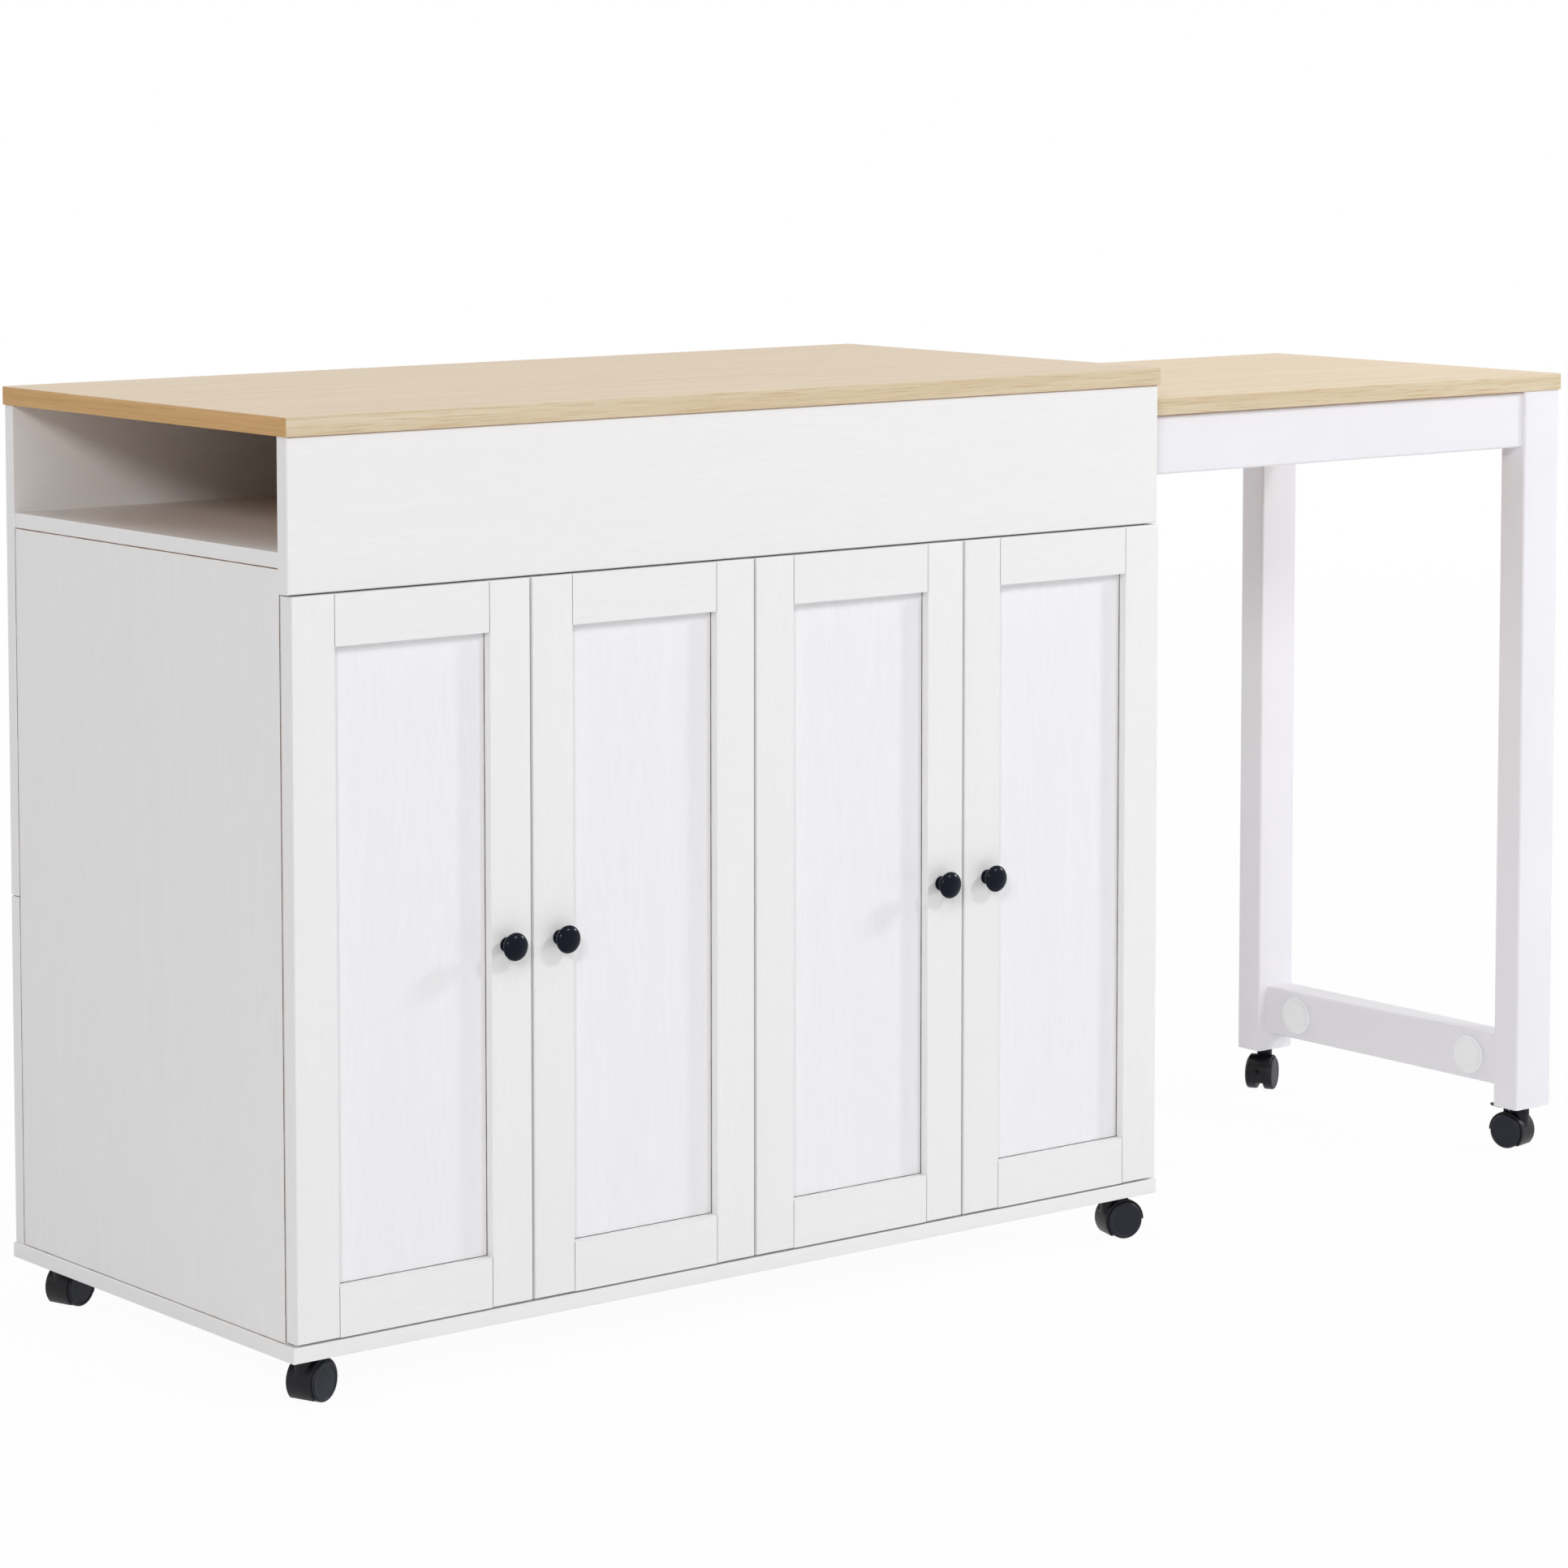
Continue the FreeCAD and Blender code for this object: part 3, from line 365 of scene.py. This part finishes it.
def smoothShading():
    tree = bpy.data.node_groups.new("smoothRounds", "GeometryNodeTree")
    tree.interface.new_socket("Geometry", in_out="INPUT", socket_type="NodeSocketGeometry")
    tree.interface.new_socket("Geometry", in_out="OUTPUT", socket_type="NodeSocketGeometry")
    given = addNode(tree, "NodeGroupInput")
    merged = addNode(tree, "GeometryNodeMergeByDistance", {"Geometry": given.outputs[0],
                                                           "Distance": shading["mergeWithin"] * mm})
    faces = addNode(tree, "GeometryNodeSetShadeSmooth", {"Geometry": merged.outputs[0], "Shade Smooth": True})
    angle = addNode(tree, "GeometryNodeInputMeshEdgeAngle")
    sharp = addNode(tree, "FunctionNodeCompare", {"A": angle.outputs["Unsigned Angle"],
                                                  "B": shading["sharpAngle"]},
                    data_type="FLOAT", operation="GREATER_THAN")
    edges = addNode(tree, "GeometryNodeSetShadeSmooth", {"Geometry": faces.outputs[0],
                                                         "Selection": sharp.outputs[0],
                                                         "Shade Smooth": False}, domain="EDGE")
    addNode(tree, "NodeGroupOutput", {"Geometry": edges.outputs[0]})
    return tree


finishOf = {
    "front_fascia": levelBoard, "base_board": levelBoard, "slot_floor": levelBoard, "shelves": levelBoard,
    "rear_lower_board": levelBoard, "rear_upper_board": levelBoard, "worktop": oak, "table_top": paintedLightTableOak,
    "left_side_panel": uprightBoard, "right_side_panel": uprightBoard, "centre_partition": uprightBoard,
    "shelf_pins": nickel, "hinge_plates": nickel, "cabinet_caster_stems": nickel,
    "stretcher_caps": capPlastic, "table_glides": glidePlastic, "table_caster_sockets": hoodNylon,
}
finishOfEnding = {
    "_stiles": uprightBoard, "_rails": levelBoard, "_panel": panelBoard, "_knob": knobPaint,
    "_hinge_cups": nickel, "_hood": hoodNylon, "_lever": hoodNylon, "_wheels": wheelNylon,
}
rounds = smoothShading()
for name, node in nodes.items():
    ending = next((finish for tail, finish in finishOfEnding.items() if name.endswith(tail)), whiteCoat)
    node.data.materials.clear()
    node.data.materials.append(finishOf.get(name, ending))
    node.modifiers.new("rounds", "NODES").node_group = rounds
print("CAD nodes dressed")


# New pieces

def addSurface(name, points, quads, fans, finish, body, slot):
    mesh = bpy.data.meshes.new(name)
    mesh.from_pydata(points.tolist(), [], quads.tolist() + fans.tolist())
    mesh.polygons.foreach_set("use_smooth", np.ones(len(mesh.polygons), bool))
    mesh.materials.append(finish)
    piece = bpy.data.objects.new(name, mesh)
    bpy.context.scene.collection.objects.link(piece)
    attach(piece, body)
    return piece


# Closed skin over a row of rings, each ring joined to the next, with a pole at each end
def skinOver(rings, firstPole, lastPole):
    count, around = rings.shape[:2]
    points = np.vstack([rings.reshape(-1, 3), firstPole, lastPole])
    ring, step = np.meshgrid(np.arange(count - 1), np.arange(around), indexing="ij")
    after = (step + 1) % around
    quads = np.stack([ring * around + step, ring * around + after,
                      (ring + 1) * around + after, (ring + 1) * around + step], -1).reshape(-1, 4)
    first = np.arange(around)
    second = (first + 1) % around
    last = (count - 1) * around
    low = np.stack([second, first, np.full(around, count * around)], -1)
    high = np.stack([last + first, last + second, np.full(around, count * around + 1)], -1)
    return points, quads, np.vstack([low, high])


# Several closed skins as one surface
def together(*skins):
    starts = np.cumsum([0] + [len(points) for points, quads, fans in skins[:-1]])
    return (np.vstack([points for points, quads, fans in skins]),
            np.vstack([quads + start for start, (points, quads, fans) in zip(starts, skins)]),
            np.vstack([fans + start for start, (points, quads, fans) in zip(starts, skins)]))


slanted = (0.31, 0.22, 0.92)   # in line with no axis here, so that every turned shape has a first side


# Turned shape: point(s, t) = foot + height(s) axis + radius(s) (u cos t + v sin t), with a point at each pole
def turnedShape(profile, foot, axis, segments):
    profile = np.asarray(profile, float) * mm
    axis = np.asarray(axis, float)
    foot = np.asarray(foot, float)
    side = np.cross(axis, slanted)
    side /= np.linalg.norm(side)
    other = np.cross(axis, side)
    turn = np.linspace(0, 2 * np.pi, segments, endpoint=False)
    radial = np.outer(np.cos(turn), side) + np.outer(np.sin(turn), other)
    rings = profile[1:-1, 0, None, None] * radial + profile[1:-1, 1, None, None] * axis
    return skinOver(rings + foot, foot + profile[0, 1] * axis, foot + profile[-1, 1] * axis)


# Elliptic arc in a profile: radius = r + a cos(angle), height = h + b sin(angle)
def arc(r, h, a, b, start, end, steps):
    angle = np.radians(np.linspace(start, end, steps))
    return np.stack([r + a * np.cos(angle), h + b * np.sin(angle)], -1)


pinEase = {"most": 0.3, "share": 0.25}   # mm, and as a share of the radius


# Straight pin between two heights, its ends eased
def pinProfile(radius, low, high):
    ease = min(pinEase["most"], radius * pinEase["share"])
    return [(0, low), (radius - ease, low), (radius, low + ease),
            (radius, high - ease), (radius - ease, high), (0, high)]


# Radii and heights in mm, heights from the door's face
knobShape = {
    "foot": 7.3, "footEase": 0.4,
    "neck": 4.3, "neckLow": 5.0, "neckHigh": 8.2,
    "footFlare": 3.8,                           # height of the curve from foot to neck
    "underHead": 9.2, "underFlare": 3.2,        # radius and height of the curve from neck to head
    "rimStart": 9.6, "head": 13.5, "widest": 15.2, "reach": 21.0,
    "steps": (4, 10, 26),                       # along the foot, each flare and the dome
    "segments": 72,
}


# Mushroom knob: eased foot, waisted neck, full head with an elliptic dome
def makeKnobs():
    look = knobShape
    foot, ease, neck, head = look["foot"], look["footEase"], look["neck"], look["head"]
    under, widest, reach = look["underHead"], look["widest"], look["reach"]
    headLow = look["neckHigh"] + look["underFlare"]
    few, some, many = look["steps"]
    profile = np.vstack([
        [(0, 0)],
        arc(foot - ease, ease, ease, ease, -90, 0, few),
        arc(foot, look["neckLow"], foot - neck, look["footFlare"], 270, 180, some),
        arc(under, look["neckHigh"], under - neck, look["underFlare"], 180, 90, some),
        arc(look["rimStart"], widest, head - look["rimStart"], widest - headLow, -90, 0, some),
        arc(0, widest, head, reach - widest, 0, 90, many)[1:],
    ])
    for number in doorNumbers:
        name = f"door_{number}_knob"
        low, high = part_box(name)
        fitted = profile * (1, (high.y - low.y) / (reach * mm))
        seat = ((low.x + high.x) / 2, high.y, (low.z + high.z) / 2)
        shape = turnedShape(fitted, seat, (0, -1, 0), look["segments"])
        knob = addSurface(f"turnedKnob{number}", *shape, knobPaint, f"door_{number}", "knob_metal")
        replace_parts(knob, name)


makeKnobs()
print("knobs turned")


# In mm; the pairs of the face are distances in from the tread and down from the outer side
wheelShape = {
    "radius": 19.5, "width": 11.5, "fromMiddle": 5.0,
    "innerFlat": 1.3, "innerEase": 1.2,
    "shoulder": (2.8, 2.6),
    "step": [(3.3, 0.05), (3.6, 0.5), (4.1, 0.6)],
    "face": [(6.5, 0.42), (10, 0.25), (14, 0.14)],
    "faceMiddle": 0.1,
    "axle": 3.0, "axleHalf": 7.0, "axleSegments": 32,
    "segments": 96,
}


# Moulded disc wheel: eased inner rim, plain tread, broad outer shoulder, a fine step and a shallow domed face
def makeWheels(name):
    look = wheelShape
    radius, width, ease = look["radius"], look["width"], look["innerEase"]
    broad, deep = look["shoulder"]
    profile = np.vstack([
        [(0, 0), (radius - look["innerFlat"], 0)],
        arc(radius - ease, ease, ease, ease, -85, 0, 6),
        arc(radius - broad, width - deep, broad, deep, 0, 86, 14),
        (radius, width) - np.array(look["step"] + look["face"]),
        [(0, width - look["faceMiddle"])],
    ])
    roll = joints[f"caster_{name}_roll"]
    middle = np.array(roll["pos_m"])
    axis = np.array(roll["axis"], float)
    aside = axis * look["fromMiddle"] * mm
    discs = [turnedShape(profile, middle + sign * aside, sign * axis, look["segments"]) for sign in (1, -1)]
    axle = turnedShape(pinProfile(look["axle"], -look["axleHalf"], look["axleHalf"]), middle, axis,
                       look["axleSegments"])
    joined = together(*discs, axle)
    wheels = addSurface(f"discWheels_{name}", *joined, wheelNylon, f"wheels_{name}", "wheel_plastic")
    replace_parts(wheels, f"caster_{name}_wheels")


# In mm, apart from shares of the reach and powers
leverShape = {
    "reach": 23.0, "halfWidth": 5.5,
    "root": 1.5, "tip": 0.65, "thinning": 0.7,  # half thickness at both ends, and the power it falls by
    "rise": 0.4, "dip": 1.1, "lift": 0.95,      # middle line: at the pivot, down halfway, up at the tip
    "rib": 0.28, "ribPitch": 2.2, "tread": (0.5, 0.93),
    "noseFrom": 0.8, "nose": 0.5, "nosePower": 2.5,   # the end narrows by this share of its width
    "squaring": (0.5, 0.4),                     # powers that square off the section, up and across
    "barrel": 2.0, "barrelSegments": 28,
    "pin": 1.2, "pinHalf": 8.1, "pinSegments": 24,
    "steps": 110, "around": 36,
}


# Brake lever: point(u, t) = pivot + u reach out + (mid(u) + half(u, t) sin t) up + width(u) cos t side, where
# the middle line dips and lifts to the tip, sine and cosine are squared off, and ribs stand on the tread
def makeLever(name):
    look = leverShape
    brake = joints[f"caster_{name}_brake"]
    pivot = np.array(brake["pos_m"])
    out = pivot - np.array(joints[f"caster_{name}_swivel"]["pos_m"])
    out[2] = 0
    out /= np.linalg.norm(out)
    up = np.array((0.0, 0.0, 1.0))
    side = np.cross(up, out)
    u = np.linspace(0, 1, look["steps"])[:, None]
    t = np.linspace(0, 2 * np.pi, look["around"], endpoint=False)[None, :]
    middle = look["rise"] - look["dip"] * np.sin(np.pi * u) + look["lift"] * u ** 2
    half = look["root"] + (look["tip"] - look["root"]) * u ** look["thinning"]
    treadStart, treadEnd = look["tread"]
    waves = np.sin(2 * np.pi * u * look["reach"] / look["ribPitch"])
    ribs = np.clip(waves, 0, 1) * (u > treadStart) * (u < treadEnd)
    half = half + look["rib"] * ribs * (np.sin(t) > 0)
    nose = np.clip((u - look["noseFrom"]) / (1 - look["noseFrom"]), 0, 1) ** look["nosePower"]
    width = look["halfWidth"] * (1 - look["nose"] * nose)
    squareUp, squareAcross = look["squaring"]
    rise = middle + half * np.sign(np.sin(t)) * np.abs(np.sin(t)) ** squareUp
    across = width * np.sign(np.cos(t)) * np.abs(np.cos(t)) ** squareAcross
    along = u * look["reach"] + 0 * t
    rings = pivot + mm * (along[..., None] * out + rise[..., None] * up + across[..., None] * side)
    tab = skinOver(rings, rings[0].mean(0), rings[-1].mean(0))
    axis = np.array(brake["axis"], float)
    barrel = turnedShape(pinProfile(look["barrel"], -look["halfWidth"], look["halfWidth"]), pivot, axis,
                         look["barrelSegments"])
    pin = turnedShape(pinProfile(look["pin"], -look["pinHalf"], look["pinHalf"]), pivot, axis,
                      look["pinSegments"])
    joined = together(tab, barrel, pin)
    lever = addSurface(f"brakeLever_{name}", *joined, hoodNylon, f"lever_{name}", "caster_plastic")
    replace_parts(lever, f"caster_{name}_lever")


for name in casterNames:
    makeWheels(name)
    if f"caster_{name}_brake" in joints:
        makeLever(name)
print("wheels and brake levers made")


# In mm
capShape = {
    "radius": 22.0, "rise": 2.5, "footEase": 0.1, "edge": 1.0,
    "rim": 2.6, "rimEdge": 0.4, "rimFoot": 0.7,
    "sink": 0.8, "crown": 0.05,
    "segments": 96,
}


# Round cap: eased edge, a raised rim and a sunk, nearly flat middle
def makeCaps():
    look = capShape
    radius, rise, rim = look["radius"], look["rise"], look["rim"]
    footEase, edge, rimEdge = look["footEase"], look["edge"], look["rimEdge"]
    floor = rise - look["sink"]
    profile = np.vstack([
        [(0, 0), (radius - footEase, 0), (radius, footEase)],
        arc(radius - edge, rise - edge, edge, edge, 0, 90, 8),
        arc(radius - rim, rise - rimEdge, rimEdge, rimEdge, 90, 180, 6),
        [(radius - rim - look["rimFoot"], floor), (radius / 2, floor), (0, floor + look["crown"])],
    ])
    low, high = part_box("stretcher_caps")
    spots = [(high.x, y, (low.z + high.z) / 2) for y in (low.y + radius * mm, high.y - radius * mm)]
    caps = together(*[turnedShape(profile, spot, (-1, 0, 0), look["segments"]) for spot in spots])
    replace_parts(addSurface("stretcherCaps", *caps, capPlastic, "table", "cap_plastic"), "stretcher_caps")


# In mm; the spreads are from the hinge's middle height
screwShape = {
    "head": 3.4, "rise": 1.2, "seat": 0.2,
    "drive": 1.5, "driveLip": 0.3, "driveEase": 0.05, "driveTaper": 0.2, "driveFloor": (0.45, 0.35),
    "fromArmTip": 30.7, "plate": 2.0, "plateSpread": 14.5,
    "cupInset": 28.0, "cupSpread": 22.5,
    "segments": 28,
}


# Pan-head screws on the hinge plates and hinge cups: a low dome with a sunk round drive
def makeScrews():
    look = screwShape
    head, rise, seat, drive = look["head"], look["rise"], look["seat"], look["drive"]
    dome = drive + look["driveLip"]
    floorEdge, floorMiddle = look["driveFloor"]
    profile = np.vstack([
        [(0, 0), (head, 0)],
        arc(dome, seat, head - dome, rise - seat, 0, 90, 8),
        [(drive, rise - look["driveEase"]), (drive - look["driveTaper"], floorEdge), (0, floorMiddle)],
    ])
    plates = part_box("hinge_plates")
    faces = ((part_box("left_side_panel")[1].x, 1), (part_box("centre_partition")[0].x, -1),
             (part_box("centre_partition")[1].x, 1), (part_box("right_side_panel")[0].x, -1))
    plateScrews = []
    for number, (face, sign) in zip(doorNumbers, faces):
        low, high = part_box(f"door_{number}_hinge_cups")
        heights = (low.z + look["cupInset"] * mm, high.z - look["cupInset"] * mm)
        cupScrews = []
        for height in heights:
            for spread in (-1, 1):
                spot = (face + sign * look["plate"] * mm, plates[0].y + look["fromArmTip"] * mm,
                        height + spread * look["plateSpread"] * mm)
                plateScrews.append(turnedShape(profile, spot, (sign, 0, 0), look["segments"]))
                spot = ((low.x + high.x) / 2, high.y, height + spread * look["cupSpread"] * mm)
                cupScrews.append(turnedShape(profile, spot, (0, 1, 0), look["segments"]))
        addSurface(f"cupScrews{number}", *together(*cupScrews), nickel, f"door_{number}", "hinge_steel")
    addSurface("plateScrews", *together(*plateScrews), nickel, "cabinet", "hinge_steel")


# In mm, apart from the wander
seamShape = {
    "panelRadius": 0.8, "panelInset": 0.55, "frontInset": 0.3, "endGap": 1.0,
    "railHeight": 48.0, "recess": 10.0, "cornerRadius": 0.6,
    "jointHalf": 0.35, "jointDepth": 0.5, "jointGap": 0.1,
    "wander": 0.06, "waves": (61, 223),         # share of the radius, radians for each metre
    "steps": 120, "around": 10,
}


# Filler bead, a joint's colour with painted shade along it: point(s, t) = line(s) + radius(s) (wide cos t +
# deep sin t), its radius wandering a little
def bead(start, end, wide, deep):
    look = seamShape
    start, end, wide, deep = (np.asarray(value, float) for value in (start, end, wide, deep))
    s = np.linspace(0, 1, look["steps"])[:, None, None]
    t = np.linspace(0, 2 * np.pi, look["around"], endpoint=False)[None, :, None]
    far = s * np.linalg.norm(end - start)
    slow, quick = look["waves"]
    radius = 1 + look["wander"] * np.sin(far * slow) + look["wander"] * np.sin(far * quick)
    if np.dot(np.cross(wide, deep), end - start) < 0:
        deep = -deep
    rings = start + s * (end - start) + radius * (np.cos(t) * wide + np.sin(t) * deep)
    return skinOver(rings, start, end)


# Joints of the side panels, brown: raw board colour and painted shade of the gap; rail ends and panel edges
# of the doors, darker: dark joints, and painted shade in the corners where the panels sit back in the frames
def makeSeams():
    look = seamShape
    gap = look["endGap"] * mm
    thick = look["panelRadius"] * mm
    beads = []
    for panel, outward in (("left_side_panel", -1), ("right_side_panel", 1)):
        low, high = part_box(panel)
        x = (low.x if outward < 0 else high.x) - outward * look["panelInset"] * mm
        for z in (low.z, high.z):
            beads.append(bead((x, low.y + gap, z), (x, high.y - gap, z), (thick, 0, 0), (0, 0, thick)))
        for y, radius in ((high.y, thick), (low.y + look["frontInset"] * mm, thick / 2)):
            beads.append(bead((x, y, low.z + gap), (x, y, high.z - gap), (radius, 0, 0), (0, radius, 0)))
    # The side panels' brown beads: raw board colour in the joints, and painted shade of the gaps
    addSurface("seamBeadsWithPaintedShade", *together(*beads), seamFibreAndShade, "cabinet", "white_board")

    half, corner, short = look["jointHalf"] * mm, look["cornerRadius"] * mm, look["jointGap"] * mm
    for number in doorNumbers:
        low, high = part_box(f"door_{number}_rails")
        bottom, top = low.z + look["railHeight"] * mm, high.z - look["railHeight"] * mm
        face, deep = low.y + look["jointDepth"] * mm, low.y + look["recess"] * mm
        beads = []
        for x in (low.x + half, high.x - half):
            for start, end in ((low.z + gap, bottom - short), (top + short, high.z - gap)):
                beads.append(bead((x, face, start), (x, face, end), (half, 0, 0), (0, half, 0)))
        # Beads in the corners where the panel meets the frame: painted corner shade
        for x in (low.x, high.x):
            beads.append(bead((x, deep, bottom), (x, deep, top), (corner, 0, 0), (0, corner, 0)))
        for z in (bottom, top):
            beads.append(bead((low.x, deep, z), (high.x, deep, z), (0, corner, 0), (0, 0, corner)))
        addSurface(f"doorSeamsAndShade{number}", *together(*beads), jointAndShadeFiller, f"door_{number}", "white_board")


makeCaps()
makeScrews()
makeSeams()
print("caps, screws and seams made")


# Camera at the photograph's angle: its lens and shift are for a 1932 by 1932 frame, which this script leaves
# unset, and the shift keeps vertical lines upright

photoCamera = {"lens": 111.67, "sensor": 36, "shiftDown": 0.2118, "farthest": 60,
               "place": (-3.2317, -3.9353, 1.2576), "aim": (0.6218, 0.7787, -0.0844)}
cameraData = bpy.data.cameras.new("photoCamera")
cameraData.lens = photoCamera["lens"]
cameraData.sensor_width = photoCamera["sensor"]
cameraData.shift_y = -photoCamera["shiftDown"]
cameraData.clip_end = photoCamera["farthest"]
camera = bpy.data.objects.new("photoCamera", cameraData)
camera.location = photoCamera["place"]
camera.rotation_euler = Vector(photoCamera["aim"]).to_track_quat("-Z", "Y").to_euler()
bpy.context.scene.collection.objects.link(camera)
bpy.context.scene.camera = camera


# Studio: five soft boxes at plain level, pale floor, white surround; distances in metres

softBoxes = {
    "front": {"from": (0.31, -0.75, 0.59), "distance": 9.0, "level": 0.19, "size": 1.0, "tint": "#ffffff"},
    "right": {"from": (0.85, -0.37, 0.37), "distance": 5.0, "level": 0.28, "size": 0.5, "tint": "#ffffff"},
    "left": {"from": (-0.68, -0.64, 0.36), "distance": 9.0, "level": 0.235, "size": 1.4, "tint": "#fff9f4"},
    "overhead": {"from": (-0.15, 0.05, 0.98), "distance": 6.0, "level": 0.1, "size": 2.4, "tint": "#fff9fa"},
    "rear": {"from": (-0.22, 0.88, 0.42), "distance": 9.0, "level": 0.17, "size": 2.4, "tint": "#ffffff"},
}
studio = {
    "aim": (0.0, 0.0, 0.5),
    "surround": 0.385,                          # light from all round
    "floor": "#f4f4f4", "floorSheen": 0.9, "floorReach": 14.0,
    "floorWhite": 0.96, "fade": (1.5, 7.0),     # share of plain white near by, and where it grows to all
}


# Rays that show the backdrop: straight from the camera, or by way of gloss or glass
def backdropRays(tree):
    path = addNode(tree, "ShaderNodeLightPath")
    direct = addNode(tree, "ShaderNodeMath", {0: path.outputs["Is Camera Ray"],
                                              1: path.outputs["Is Glossy Ray"]}, operation="MAXIMUM")
    return addNode(tree, "ShaderNodeMath", {0: direct.outputs[0], 1: path.outputs["Is Transmission Ray"]},
                   operation="MAXIMUM").outputs[0]


def makeLamps():
    for name, box in softBoxes.items():
        lamp = bpy.data.lights.new(name + "SoftBox", "AREA")
        lamp.shape = "SQUARE"
        lamp.size = box["size"]
        lamp.color = linear(box["tint"])[:3]
        lamp.energy = box["level"] * np.pi ** 2 * box["distance"] ** 2   # level 1 shows a colour as written
        place = bpy.data.objects.new(name + "SoftBox", lamp)
        toward = Vector(box["from"]).normalized()
        place.location = Vector(studio["aim"]) + toward * box["distance"]
        place.rotation_euler = (-toward).to_track_quat("-Z", "Y").to_euler()
        bpy.context.scene.collection.objects.link(place)


def makeSurround():
    world = bpy.data.worlds.new("studioSurround")
    bpy.context.scene.world = world
    world.use_nodes = True
    tree = world.node_tree
    tree.nodes.clear()
    level = addNode(tree, "ShaderNodeMapRange", {"Value": backdropRays(tree),
                                                 **spans(whole, (studio["surround"], 1.0))})
    glow = addNode(tree, "ShaderNodeBackground", {"Color": (1, 1, 1, 1), "Strength": level.outputs[0]})
    addNode(tree, "ShaderNodeOutputWorld", {"Surface": glow.outputs[0]})


# Matt pale floor: takes the shadow, and turns to plain white away from the object
def makeFloor():
    material, tree, shader, place = newFinish("pale studio floor", {"Base Color": linear(studio["floor"]),
                                                                    "Roughness": studio["floorSheen"]})
    white = addNode(tree, "ShaderNodeEmission", {"Color": (1, 1, 1, 1), "Strength": 1.0})
    away = addNode(tree, "ShaderNodeVectorMath", {0: place}, operation="LENGTH")
    whiteness = addNode(tree, "ShaderNodeMapRange", {"Value": away.outputs["Value"],
                                                     **spans(studio["fade"], (studio["floorWhite"], 1.0))})
    share = addNode(tree, "ShaderNodeMath", {0: backdropRays(tree), 1: whiteness.outputs[0]},
                    operation="MULTIPLY")
    mixed = addNode(tree, "ShaderNodeMixShader", {0: share.outputs[0], 1: shader.outputs[0],
                                                  2: white.outputs[0]})
    tree.links.new(mixed.outputs[0], tree.nodes["Material Output"].inputs["Surface"])
    reach = studio["floorReach"]
    mesh = bpy.data.meshes.new("studioFloor")
    corners = [(-reach, -reach, 0), (reach, -reach, 0), (reach, reach, 0), (-reach, reach, 0)]
    mesh.from_pydata(corners, [], [(0, 1, 2, 3)])
    mesh.materials.append(material)
    floor = bpy.data.objects.new("studioFloor", mesh)
    bpy.context.scene.collection.objects.link(floor)


makeLamps()
makeSurround()
makeFloor()
bpy.context.scene.view_settings.view_transform = "Standard"
print("camera and studio placed")
